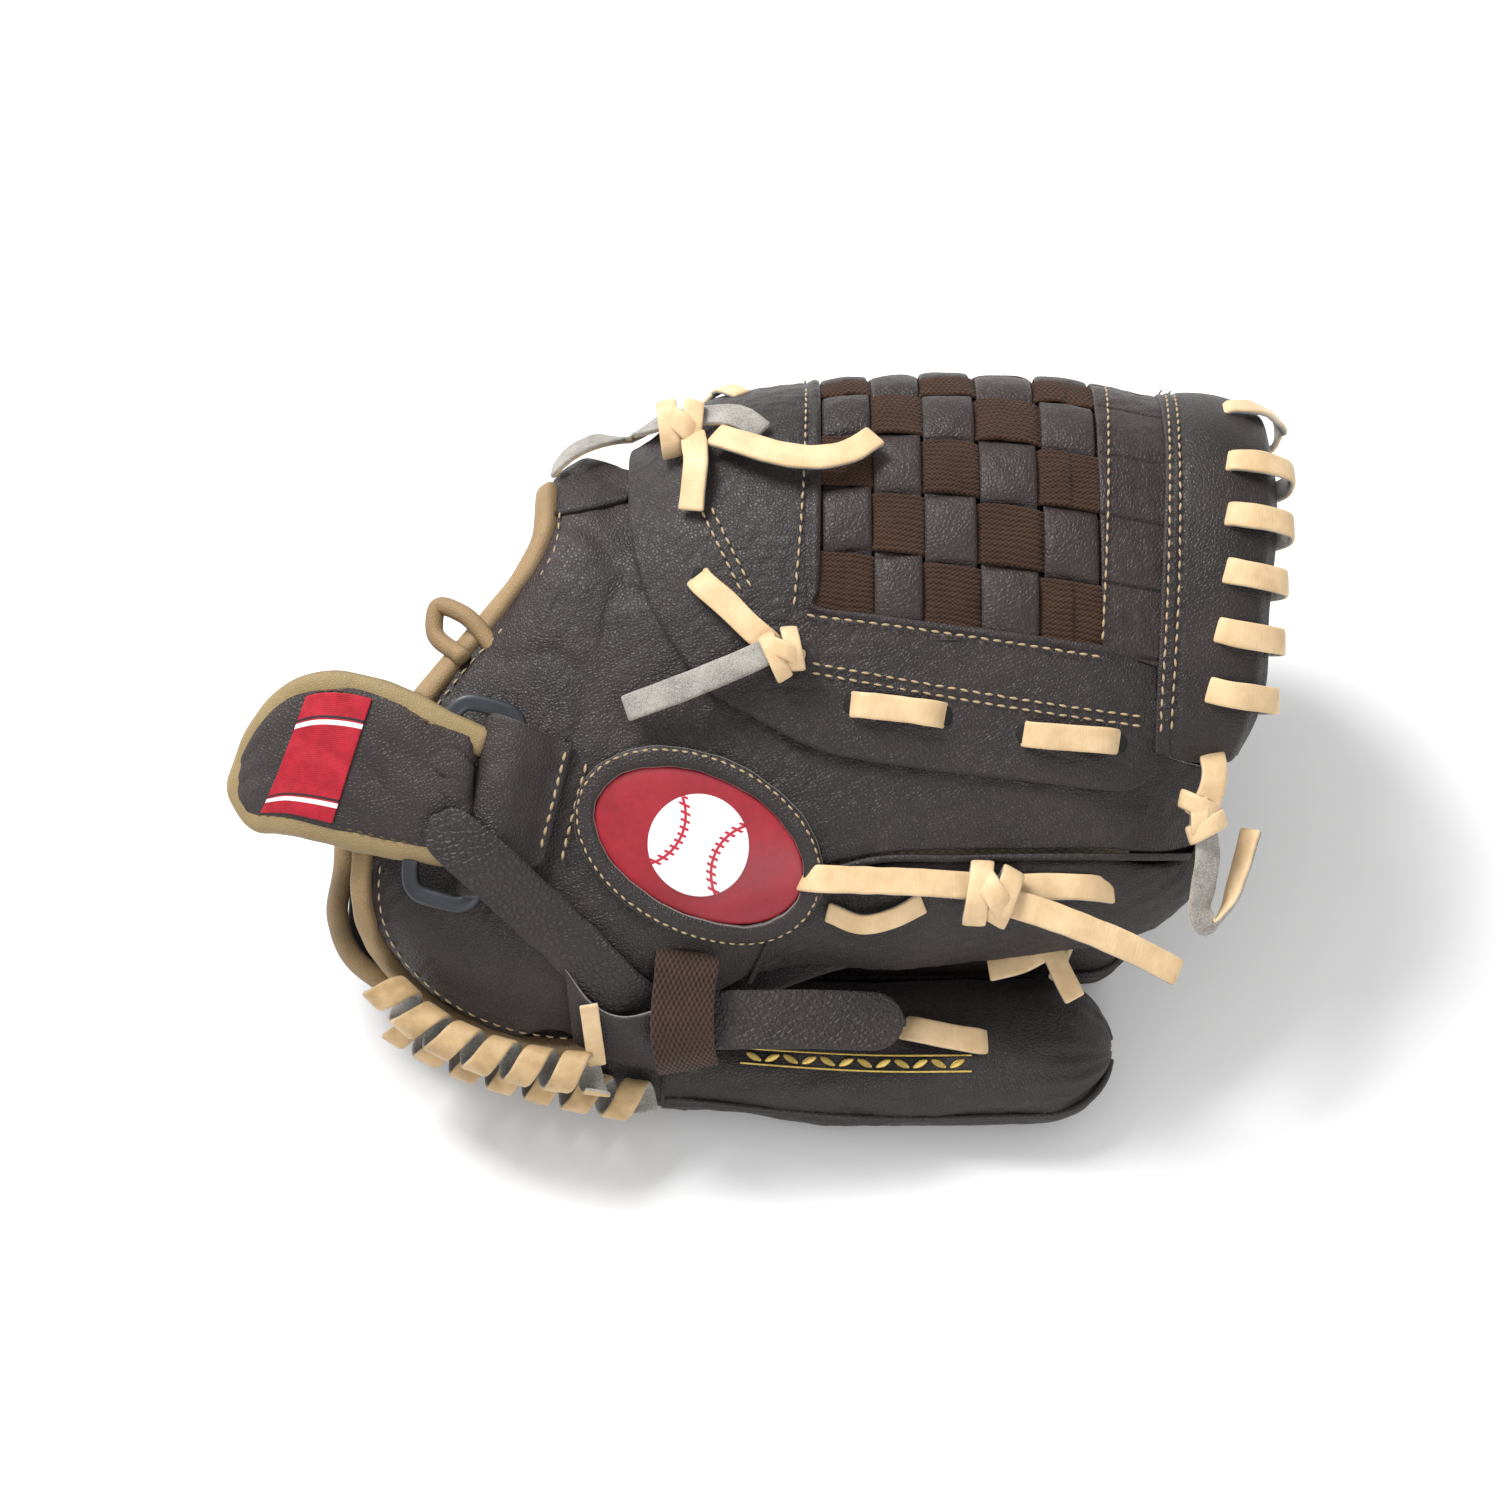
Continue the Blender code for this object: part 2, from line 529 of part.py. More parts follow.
def make_laces():
    """The tied laces on the thumb's face."""
    top = OVER_TONGUE + 0.0004
    lace("flange_lace_1", ((0.0284, 0.1300, top), (0.041, 0.1288, top + 0.0012), (0.0539, 0.1272, top)))
    lace("flange_lace_2", ((0.0793, 0.1213, top), (0.092, 0.1202, top + 0.0012), (0.1048, 0.1192, top)))
    lace("crotch_lace", ((-0.058, 0.1960, 0.0035), (-0.044, 0.2000, 0.0050), (-0.0310, 0.2035, 0.0060)))
    knot("crotch_lace_knot", (-0.0195, 0.2045), (0.018, 0.016, 0.0065), 0.0085)
    lace("crotch_lace_tail",
         ((-0.0085, 0.2060, 0.0080), (0.003, 0.2010, 0.0085), (0.0153, 0.1988, 0.0085),
          (0.0344, 0.2045, 0.0080)), 9)
    lace("pocket_lace", ((-0.0165, 0.1650, top), (-0.006, 0.1570, top + 0.0015),
                         (0.0018, 0.1505, top + 0.0010)))
    knot("pocket_lace_knot", (0.0068, 0.1450), (0.011, 0.013, 0.007), 0.0078)
    lace("pocket_lace_tail",
         ((0.0000, 0.1425, 0.0065), (-0.016, 0.1365, 0.0065), (-0.0383, 0.1290, 0.0055)), 7)
    lace("thumb_loop_lace", ((0.0195, 0.0778, 0.0022), (0.036, 0.0775, 0.0034), (0.0585, 0.0765, 0.0044)),
         7)
    knot("thumb_loop_knot", (0.0690, 0.0745), (0.018, 0.016, 0.0070), 0.0056)
    z = on_skin(*near(0.079, 0.066))[0].z
    ribbon("thumb_loop_tail", "lace",
           [(0.0800, 0.0672, z + 0.005), (0.0950, 0.0625, z + 0.006), (0.1090, 0.0575, z + 0.004),
            (0.1240, 0.0515, z)],
           [(0.1, 0.2, 1.0)] * 4, LACE_WIDTH, LACE_THICK, 8)


def make_corner_lace():
    """The lace that ties the band's lower corner: a loop, a knot and a free end."""
    ribbon("corner_lace", "lace",
           [(0.1325, 0.1130, 0.0085), (0.1340, 0.1070, 0.0100), (0.1330, 0.1030, 0.0095)],
           [(0.15, 0.0, 1.0)] * 3, 0.0072, LACE_THICK, 5)
    bm = bmesh.new()
    bmesh.ops.create_uvsphere(bm, u_segments=10, v_segments=6, radius=0.5,
                              matrix=(Matrix.Translation((0.1315, 0.0960, 0.0080))
                                      @ Matrix.Diagonal((0.015, 0.0125, 0.009, 1.0))))
    mesh = bpy.data.meshes.new("corner_lace_knot")
    bm.to_mesh(mesh)
    bm.free()
    mesh.shade_smooth()
    add("corner_lace_knot", mesh, "lace")
    ribbon("corner_lace_tail", "lace",
           [(0.1305, 0.0880, 0.0080), (0.1295, 0.0760, 0.0070), (0.1325, 0.0660, 0.0060),
            (0.1380, 0.0680, 0.0050),
                                       (0.1425, 0.0790, 0.0040), (0.1445, 0.0915, 0.0020)],
           [(0.3, 0.0, 1.0), (0.5, 0.0, 0.9), (0.1, -0.9, 0.6), (-0.6, -0.5, 0.6), (-0.7, 0.1, 0.7),
            (-0.7, 0.1, 0.7)],
           0.0072, LACE_THICK, 14)


def make_wrist():
    """Ring tab, cinch strap, slot loop, keeper and the parts of the wrist strap."""
    lace("ring_tab", ((-0.0850, 0.1030, 0.0070), (-0.0770, 0.1008, 0.0070), (-0.0670, 0.0980, 0.0028),
                      (-0.0585, 0.0958, 0.0020)),
         9, 0.0480, 0.0022, "leather")
    lace("cinch_strap", ((-0.0735, 0.0655, 0.0022), (-0.0640, 0.0610, 0.0022), (-0.0540, 0.0540, 0.0022),
                         (-0.0440, 0.0455, 0.0024)),
         9, 0.0165, 0.0022, "leather")
    lace("strap_slot_loop",
         ((-0.0395, 0.0520, 0.0056), (-0.0415, 0.0415, 0.0064),
          (-0.0385, 0.0310, 0.0056)), 6, 0.0080, 0.0020, "leather")
    lace("knit_keeper", ((-0.0215, 0.0560, 0.0020), (-0.0220, 0.0490, 0.0068), (-0.0225, 0.0360, 0.0075),
                         (-0.0228, 0.0290, 0.0060)),
         10, 0.0160, 0.0018, "knit")
    depth = 0.0010
    ribbon("pull_tab", "leather",
           [(-0.0115, 0.0360, depth), (0.015, 0.0362, depth - 0.0015), (0.0422, 0.0355, depth - 0.0045)],
           [(0.05, 0.1, 1.0)] * 3, 0.0165, 0.0026, 9)
    path = [(-0.0925, 0.1040, 0.0125), (-0.112, 0.1115, 0.0115), (-0.134, 0.1190, 0.0070),
            (-0.1490, 0.1220, -0.004),
            (-0.1525, 0.1220, -0.020), (-0.1480, 0.1200, -0.036), (-0.1430, 0.1180, -0.046)]
    faces = [(0.1, 0.0, 1.0), (0.0, 0.0, 1.0), (-0.35, 0.0, 0.95), (-0.85, 0.1, 0.5), (-1.0, 0.1, 0.0),
             (-0.95, 0.1, -0.3), (-0.85, 0.1, -0.5)]
    ribbon("wrist_pad", "leather", path, faces, 0.0360, 0.0050, 13)
    label = [(-0.1170, 0.1142, 0.0162), (-0.1270, 0.1176, 0.0138), (-0.1360, 0.1205, 0.0108)]
    ribbon("wrist_label", "red", label, [(-0.15, 0.0, 1.0), (-0.3, 0.0, 0.95), (-0.4, 0.0, 0.9)], 0.0300,
           0.0008, 5)
    make_ring()


def make_ring():
    """The rectangular plastic ring, a closed bar with round corners."""
    points = []
    for k in range(24):
        angle = math.tau * (k + 0.5) / 24
        c, s = math.cos(angle), math.sin(angle)
        points.append(RING_CENTRE + RING_UP * RING_HALF_HEIGHT * math.copysign(abs(c) ** 0.45, c)
                      + RING_ACROSS * RING_HALF_WIDTH * math.copysign(abs(s) ** 0.45, s))
    points.append(points[0])
    tube("buckle_ring", "plastic", points, RING_BAR, 25, closed=True)


def make_finger_laces():
    """The finger lace, the pinkie's lace and the two heel laces."""
    tube("finger_tip_lace", "lace",
         [(0.100, 0.1200, -0.0735), (0.101, 0.1000, -0.0620), (0.099, 0.0800, -0.0500),
          (0.096, 0.0620, -0.0355),
                                     (0.090, 0.0480, -0.0245)], 0.0021, 14)
    ribbon("pinkie_lace", "lace",
           [(0.0449, 0.0323, -0.0180), (0.0570, 0.0302, -0.0162), (0.0692, 0.0281, -0.0150)],
           [(0.0, 0.5, 1.0)] * 3, LACE_WIDTH, LACE_THICK, 6)
    stops = []
    for k in range(15):
        t = k / 14
        swing = 1 if k % 2 else -1
        stops.append((-0.112 + 0.066 * t, 0.0440 - 0.0290 * t ** 0.8 - 0.0035 * swing,
                      -0.0060 - 0.0050 * swing))
    tube("thumb_heel_lace", "lace", stops, 0.0022, 43)
    stops = []
    for k in range(17):
        t = k / 16
        swing = 1 if k % 2 else -1
        stops.append((-0.108 + 0.074 * t, 0.0300 - 0.0230 * t ** 0.8 - 0.0030 * swing,
                      -0.0200 - 0.0040 * swing))
    tube("pinkie_heel_lace", "lace", stops, 0.0021, 49)


def hang(name, place, pieces):
    """Put moving pieces under an empty on their joint's axis, where they stay in place."""
    pivot = bpy.data.objects.new(name, None)
    GLOVE.objects.link(pivot)
    pivot.parent = FRAME
    pivot.location = place
    for piece in pieces:
        piece.parent = pivot
        piece.location = -place


clear_scene()
GLOVE = bpy.data.collections.new("baseball_glove")
CUTTERS = bpy.data.collections.new("cutters")
bpy.context.scene.collection.children.link(GLOVE)
bpy.context.scene.collection.children.link(CUTTERS)
FRAME = bpy.data.objects.new("glove_frame", None)
GLOVE.objects.link(FRAME)
FRAME.location = SEAT
FRAME.rotation_euler = (LEAN, 0.0, 0.0)

make_fingers()
make_hand()
make_web_flange_far()
make_thumb()
make_bindings()
make_emblem()
make_web()
make_laces()
make_corner_lace()
make_wrist()
make_finger_laces()

on_strap = [bpy.data.objects[name] for name in STRAP_PIECES]
pull_tab = bpy.data.objects["pull_tab"]
on_thumb = [obj for obj in GLOVE.objects if obj.type != "EMPTY" and obj.name not in FINGER_PIECES
            and obj not in on_strap and obj != pull_tab]
hang("pocket_hinge", (POCKET_AXIS[0] + POCKET_AXIS[1]) / 2, on_thumb)
hang("strap_swivel", RING_CENTRE + RING_ACROSS * RING_HALF_WIDTH, on_strap)
hang("pull_tab_peel", PULL_TAB_ROOT, [pull_tab])
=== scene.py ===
"""Looks of a left-hand baseball glove: leather shell, woven web, laces, wrist strap and emblem.

The glove's own frame has u along the fingers, v up the thumb's face and w out of that face.
It leans back about the world's X axis. All sizes are in metres.
"""

import logging
import math
from dataclasses import dataclass, field
from enum import Enum
from typing import Callable, Optional, Sequence, Union

import bpy
import numpy as np
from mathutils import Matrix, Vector

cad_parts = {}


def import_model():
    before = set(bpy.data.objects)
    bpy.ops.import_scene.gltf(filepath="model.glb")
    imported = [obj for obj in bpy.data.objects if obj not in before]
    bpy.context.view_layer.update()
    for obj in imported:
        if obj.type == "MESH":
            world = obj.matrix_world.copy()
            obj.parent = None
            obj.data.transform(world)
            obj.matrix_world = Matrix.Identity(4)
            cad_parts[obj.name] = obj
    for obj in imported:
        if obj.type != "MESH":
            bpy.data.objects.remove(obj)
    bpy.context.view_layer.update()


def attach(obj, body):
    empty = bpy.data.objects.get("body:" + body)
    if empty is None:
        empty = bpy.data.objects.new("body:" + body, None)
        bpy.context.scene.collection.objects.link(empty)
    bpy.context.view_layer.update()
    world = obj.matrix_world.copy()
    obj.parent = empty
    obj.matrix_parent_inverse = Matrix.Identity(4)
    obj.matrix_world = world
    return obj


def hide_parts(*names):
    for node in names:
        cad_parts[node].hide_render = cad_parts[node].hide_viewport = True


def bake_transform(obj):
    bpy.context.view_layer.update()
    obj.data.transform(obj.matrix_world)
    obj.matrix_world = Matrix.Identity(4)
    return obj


LOG = logging.getLogger("glove")
Array = np.ndarray
Pair = tuple[float, float]
Table = Sequence[Sequence[float]]
Scalar = Union[float, Array]
Piece = bpy.types.Object
Colour = tuple[float, float, float]

LEAN = math.radians(35.0)
SEAT = np.array((-0.0012, -0.1245, 0.0303))
TURN = np.array(((1.0, 0.0, 0.0),
                 (0.0, math.cos(LEAN), -math.sin(LEAN)),
                 (0.0, math.sin(LEAN), math.cos(LEAN))))
UP = TURN.T @ np.array((0.0, 0.0, 1.0))

LEATHER = 0.0022
OVER_PANEL = 0.002
OVER_TONGUE = 0.0051
LACE_WIDTH, LACE_THICK = 0.0076, 0.0018


def mm(*lengths: Union[float, tuple]) -> tuple:
    """Lengths given in millimetres, in metres: each number divided by 1000, in tuples as deep as given."""
    return tuple(mm(*part) if isinstance(part, tuple) else round(part / 1000, 7) for part in lengths)


class Body(str, Enum):
    """The bodies that pieces ride on."""
    FINGERS = "fingers_half"
    THUMB = "thumb_half"
    STRAP = "wrist_strap"
    TAB = "pull_tab_end"


# Curves and grids ---------------------------------------------------------------------------

def world(points: Array) -> Array:
    """Glove-frame points in the world: turned by the lean, then moved to the seat."""
    return points @ TURN.T + SEAT


def smooth(table: Table, x: Scalar) -> Array:
    """Read (place, value) pairs as a smooth curve.

    The formula is a cubic Hermite between neighbours whose slopes are central differences.

    Args:
        table: pairs in rising order of place.
        x: places to read, held within the table's ends.

    Returns:
        The values at x.
    """
    xs, ys = np.array(table, float).T
    slopes = np.gradient(ys, xs)
    x = np.clip(x, xs[0], xs[-1])
    i = np.clip(np.searchsorted(xs, x) - 1, 0, len(xs) - 2)
    step = xs[i + 1] - xs[i]
    t = (x - xs[i]) / step
    return ((2 * t**3 - 3 * t**2 + 1) * ys[i] + (t**3 - 2 * t**2 + t) * step * slopes[i]
        + (3 * t**2 - 2 * t**3) * ys[i + 1] + (t**3 - t**2) * step * slopes[i + 1])


def ease(x: Scalar) -> Array:
    """Smooth step: three times the square less twice the cube, held between 0 and 1."""
    x = np.clip(x, 0.0, 1.0)
    return x * x * (3 - 2 * x)


def unit(vectors: Array) -> Array:
    """Vectors divided by their own length."""
    return vectors / np.maximum(np.linalg.norm(vectors, axis=-1, keepdims=True), 1e-12)


def run_of(points: Array) -> Array:
    """Distance from the first point along a line of points."""
    return np.concatenate([[0.0], np.cumsum(np.linalg.norm(np.diff(points, axis=0), axis=1))])


def by_index(stops: Table, s: Array) -> Array:
    """A smooth curve through stops, read by their order: s of 0 is the first and 1 the last."""
    stops = np.array(stops, float)
    at = np.linspace(0.0, 1.0, len(stops))
    return np.stack([smooth(np.column_stack([at, column]), s) for column in stops.T], axis=-1)


def by_length(stops: Table, count: int) -> Array:
    """Points spread evenly along a smooth curve through the stops."""
    stops = np.array(stops, float)
    run = run_of(stops)
    at = np.linspace(0.0, run[-1], count)
    if len(stops) < 3:
        return np.stack([np.interp(at, run, column) for column in stops.T], axis=-1)
    return np.stack([smooth(np.column_stack([run, column]), at) for column in stops.T], axis=-1)


def edged(count: int, length: float, radius: float) -> Array:
    """Steps from 0 to 1 that crowd together within radius of both ends, for a rounded edge."""
    share = min(radius / max(length, 1e-6), 0.3)
    near = share * np.array((0.0, 0.03, 0.13, 0.3, 0.6))
    return np.concatenate([near, np.linspace(share, 1 - share, count), 1 - near[::-1]])


def ripple(x: Array, y: Array, seed: int, size: float) -> Array:
    """Smooth wandering value, about -1 to 1: eight sine waves with random headings."""
    rng = np.random.default_rng(seed)
    total = np.zeros(np.broadcast(x, y).shape)
    for heading, phase, share in rng.uniform((0, 0, 0.6), (math.tau, math.tau, 1.6), (8, 3)):
        along = x * math.cos(heading) + y * math.sin(heading)
        total = total + np.sin(math.tau * along / (size * share) + phase)
    return total / 4


def creases(x: Array, y: Array, seed: int, size: float) -> Array:
    """Fold lines from 0 to -1 deep: sharp valleys where a wandering value crosses zero."""
    return -np.exp(-(ripple(x, y, seed, size) / 0.16) ** 2)


def normals_of(grid: Array) -> Array:
    """Unit normals of a grid: its steps along columns crossed with its steps along rows."""
    return unit(np.cross(np.gradient(grid, axis=1), np.gradient(grid, axis=0)))


def grid_faces(index: Array, wrap: bool = False) -> Array:
    """Quads over a grid of vertex numbers; wrap joins the last column to the first."""
    if wrap:
        index = np.concatenate([index, index[:, :1]], axis=1)
    return np.stack([index[:-1, :-1], index[:-1, 1:], index[1:, 1:], index[1:, :-1]], axis=-1).reshape(-1,
        4)


@dataclass
class Shape:
    """A closed mesh in the glove's frame, with values on its vertices."""
    points: Array
    faces: list[list[int]]
    uv: Array
    values: dict[str, Array] = field(default_factory=dict)

    def outward(self) -> "Shape":
        """The same shape with its faces outwards: they are flipped if its volume is negative."""
        fans = [(f[0], f[i], f[i + 1]) for f in self.faces for i in range(1, len(f) - 1)]
        a, b, c = (self.points[corner] for corner in np.array(fans).T)
        volume = np.einsum("ij,ij->i", a, np.cross(b, c))
        if volume.sum() < 0:
            self.faces = [face[::-1] for face in self.faces]
        return self


def join(shapes: Sequence[Shape]) -> Shape:
    """Several shapes as one mesh."""
    starts = np.cumsum([0] + [len(s.points) for s in shapes])
    faces = [[int(start) + i for i in face] for s, start in zip(shapes, starts) for face in s.faces]
    names = set().union(*(s.values for s in shapes))
    values = {n: np.concatenate([s.values.get(n, np.zeros(len(s.points))) for s in shapes])
              for n in names}
    return Shape(np.concatenate([s.points for s in shapes]), faces,
                 np.concatenate([s.uv for s in shapes]), values)


def slab(middle: Array, normals: Array, thickness: Scalar,
         steps: tuple[Array, Array], sizes: Pair, radius: float) -> Shape:
    """A sheet with rounded edges: two faces half a thickness each way that meet at the border.

    The thickness falls to nothing at the border as a quarter circle of the given radius.

    Args:
        middle: the sheet's middle, rows by columns.
        normals: unit normals there.
        thickness: full thickness away from the edges.
        steps: the rows' and the columns' steps from 0 to 1.
        sizes: the sheet's height and width.
        radius: how far in from the border the thickness is full.

    Returns:
        The closed shape, with its edge value at 1 on the border.
    """
    reach = [np.minimum(s, 1 - s) * size / radius for s, size in zip(steps, sizes)]
    inward = np.clip(np.minimum(reach[0][:, None], reach[1][None, :]), 0.0, 1.0)
    full = np.sqrt(np.clip(1 - (1 - inward) ** 2, 0.0, 1.0))
    half = (np.asarray(thickness) * full / 2)[..., None] * normals
    rows, columns = inward.shape
    top = np.arange(rows * columns).reshape(rows, columns)
    under = top.copy()
    inner = (rows - 2) * (columns - 2)
    under[1:-1, 1:-1] = rows * columns + np.arange(inner).reshape(rows - 2, columns - 2)
    points = np.concatenate([(middle + half).reshape(-1, 3), (middle - half)[1:-1, 1:-1].reshape(-1, 3)])
    place = np.stack(np.broadcast_arrays(steps[1][None, :] * sizes[1], steps[0][:, None] * sizes[0]), -1)
    uv = np.concatenate([place.reshape(-1, 2), place[1:-1, 1:-1].reshape(-1, 2)])
    edge = np.concatenate([(1 - full).ravel(), (1 - full)[1:-1, 1:-1].ravel()])
    front = np.concatenate([np.ones(rows * columns), np.zeros(inner)])
    faces = np.concatenate([grid_faces(top), grid_faces(under)[:, ::-1]])
    return Shape(points, faces.tolist(), uv, {"edge": edge, "front": front}).outward()


def sweep(path: Array, ups: Array, half_width: Scalar, half_thick: Scalar,
          power: float = 4.0, around: int = 16, closed: bool = False) -> Shape:
    """Carry a rounded-rectangle section along a path.

    The section is a superellipse: cosine and sine of an angle, each to the power 2 / power.

    Args:
        path: points along the middle.
        ups: which way the section's face looks at each point.
        half_width: half the width there.
        half_thick: half the thickness there.
        power: 2 for an oval, more for a flatter strap.
        around: points round the section.
        closed: whether the path is a ring.

    Returns:
        The closed shape; its front value is 1 on the face and its edge value 1 on the sides.
    """
    count = len(path)
    width = np.broadcast_to(half_width, count).astype(float)
    thick = np.broadcast_to(half_thick, count).astype(float)
    ahead = (np.roll(path, -1, 0) - np.roll(path, 1, 0)) if closed else np.gradient(path, axis=0)
    ahead = unit(ahead)
    side = unit(np.cross(ahead, ups))
    out = np.cross(side, ahead)
    run = run_of(path)
    if not closed:
        first, last = ahead[0] * thick[0], ahead[-1] * thick[-1]
        path = np.concatenate([[path[0] - 0.7 * first, path[0] - 0.5 * first], path,
                               [path[-1] + 0.5 * last, path[-1] + 0.7 * last]])
        width = np.concatenate([width[0] * np.array((0.78, 0.95)), width, width[-1] * np.array((0.95, 0.78))])
        thick = np.concatenate([thick[0] * np.array((0.2, 0.75)), thick, thick[-1] * np.array((0.75, 0.2))])
        side, out = (np.concatenate([v[:1], v[:1], v, v[-1:], v[-1:]]) for v in (side, out))
        run = np.concatenate([run[:1], run[:1], run, run[-1:], run[-1:]])
    angle = math.tau * (np.arange(around) + 0.5) / around
    across = np.sign(np.cos(angle)) * np.abs(np.cos(angle)) ** (2 / power)
    rise = np.sign(np.sin(angle)) * np.abs(np.sin(angle)) ** (2 / power)
    grid = (path[:, None] + side[:, None] * (across * width[:, None])[..., None]
            + out[:, None] * (rise * thick[:, None])[..., None])
    rows = len(path)
    index = np.arange(rows * around).reshape(rows, around)
    faces = grid_faces(np.concatenate([index, index[:1]]) if closed else index, wrap=True).tolist()
    points = grid.reshape(-1, 3)
    uv = np.stack(np.broadcast_arrays(run[:, None], across * width[:, None]), -1).reshape(-1, 2)
    front = np.tile(ease((rise - 0.2) / 0.5), rows)
    edge = np.tile(1 - ease((np.abs(rise) - 0.25) / 0.6), rows)
    if not closed:
        edge[:2 * around] = edge[-2 * around:] = 1.0
        poles = len(points) + np.arange(2)
        points = np.concatenate([points, grid[[0, -1]].mean(axis=1)])
        uv = np.concatenate([uv, uv[[0, -around]]])
        front, edge = np.append(front, (0.0, 0.0)), np.append(edge, (1.0, 1.0))
        ring = np.stack([index[0], np.roll(index[0], -1)], -1)
        end = np.stack([np.roll(index[-1], -1), index[-1]], -1)
        faces += [[int(poles[0]), int(b), int(a)] for a, b in ring]
        faces += [[int(poles[1]), int(b), int(a)] for a, b in end]
    return Shape(points, faces, uv, {"front": front, "edge": edge}).outward()


def strap(stops: Table, faces: Table, width: float = LACE_WIDTH,
          thickness: float = LACE_THICK, count: int = 40, power: float = 5.0, ragged: float = 0.0,
          seed: int = 1, round_end: float = 0.0) -> Shape:
    """A flat strap along a smooth path through stops, its face turned as faces say.

    Args:
        stops: points in the glove's frame.
        faces: which way the face looks, spread evenly along the path.
        width: full width.
        thickness: full thickness.
        count: points along the path.
        power: squareness of the section.
        ragged: how much the width wanders.
        seed: seed of that wandering.
        round_end: length over which the far end narrows as a half round.

    Returns:
        The strap.
    """
    path = by_length(stops, count)
    looks = np.array(faces, float)
    at = np.linspace(0, len(looks) - 1, count)
    ups = np.stack([np.interp(at, np.arange(len(looks)), column) for column in looks.T], -1)
    run = run_of(path)
    half = width / 2 * (1 + ragged * ripple(run, run * 0.3, seed, 0.012))
    if round_end:
        left = np.clip((run[-1] - run) / round_end, 0.0, 1.0)
        half = half * np.sqrt(np.clip(1 - (1 - left) ** 2, 0.02, 1.0))
    return sweep(path, ups, half, thickness / 2, power)


def tube(stops: Table, radius: float, count: int, around: int = 14,
         closed: bool = False, face: Sequence[float] = (0.05, 0.13, 1.0)) -> Shape:
    """A round cord along a smooth path through stops."""
    path = by_length(stops, count)
    path = path[:-1] if closed else path
    return sweep(path, np.tile(unit(np.array(face)), (len(path), 1)), radius, radius, 2.0, around, closed)


def stitches(points: Array, normals: Array, pitch: float = 0.0037, length: float = 0.0027,
             radius: float = 0.00038, seed: int = 3) -> Shape:
    """A row of thread stitches, each a short spindle that arches off the leather.

    A stitch's radius follows the square root of a half sine along it, and so does its height.

    Args:
        points: points along the seam.
        normals: the leather's normals there.
        pitch: distance from stitch to stitch.
        length: length of one.
        radius: thread radius.
        seed: seed of the small tilts.

    Returns:
        All the stitches as one shape.
    """
    run = run_of(points)
    at = np.arange(pitch / 2, run[-1], pitch)
    spot = np.stack([np.interp(at, run, c) for c in points.T], -1)
    up = unit(np.stack([np.interp(at, run, c) for c in normals.T], -1))
    ahead = unit(np.stack([np.interp(at, run, c) for c in np.gradient(points, axis=0).T], -1))
    side = unit(np.cross(ahead, up))
    tilt = np.random.default_rng(seed).uniform(-0.16, 0.16, len(at))[:, None]
    ahead = unit(ahead + side * tilt)
    side = unit(np.cross(ahead, up))
    s = np.linspace(0.04, 0.96, 5)
    swell = np.sqrt(np.sin(math.pi * s))
    angle = math.tau * np.arange(6) / 6
    grid = (spot[:, None, None] + ahead[:, None, None] * ((s - 0.5) * length)[None, :, None, None]
            + side[:, None, None] * (radius * swell[:, None] * np.cos(angle))[None, ..., None]
            + up[:, None, None] * (radius * swell[:, None] * (0.9 + 0.8 * np.sin(angle)))[None, ..., None])
    count = len(at)
    index = np.arange(count * 30).reshape(count, 5, 6)
    wrapped = np.concatenate([index, index[:, :, :1]], axis=2)
    quads = np.stack([wrapped[:, :-1, :-1], wrapped[:, :-1, 1:], wrapped[:, 1:, 1:], wrapped[:, 1:, :-1]],
        -1).reshape(-1, 4)
    ends = np.concatenate([index[:, 0, ::-1], index[:, -1]])
    uv = np.stack(np.broadcast_arrays(s[None, :, None] * length + at[:, None, None], angle * radius), -1)
    return Shape(grid.reshape(-1, 3), quads.tolist() + ends.tolist(), uv.reshape(-1, 2)).outward()


# Skin ---------------------------------------------------------------------------------------

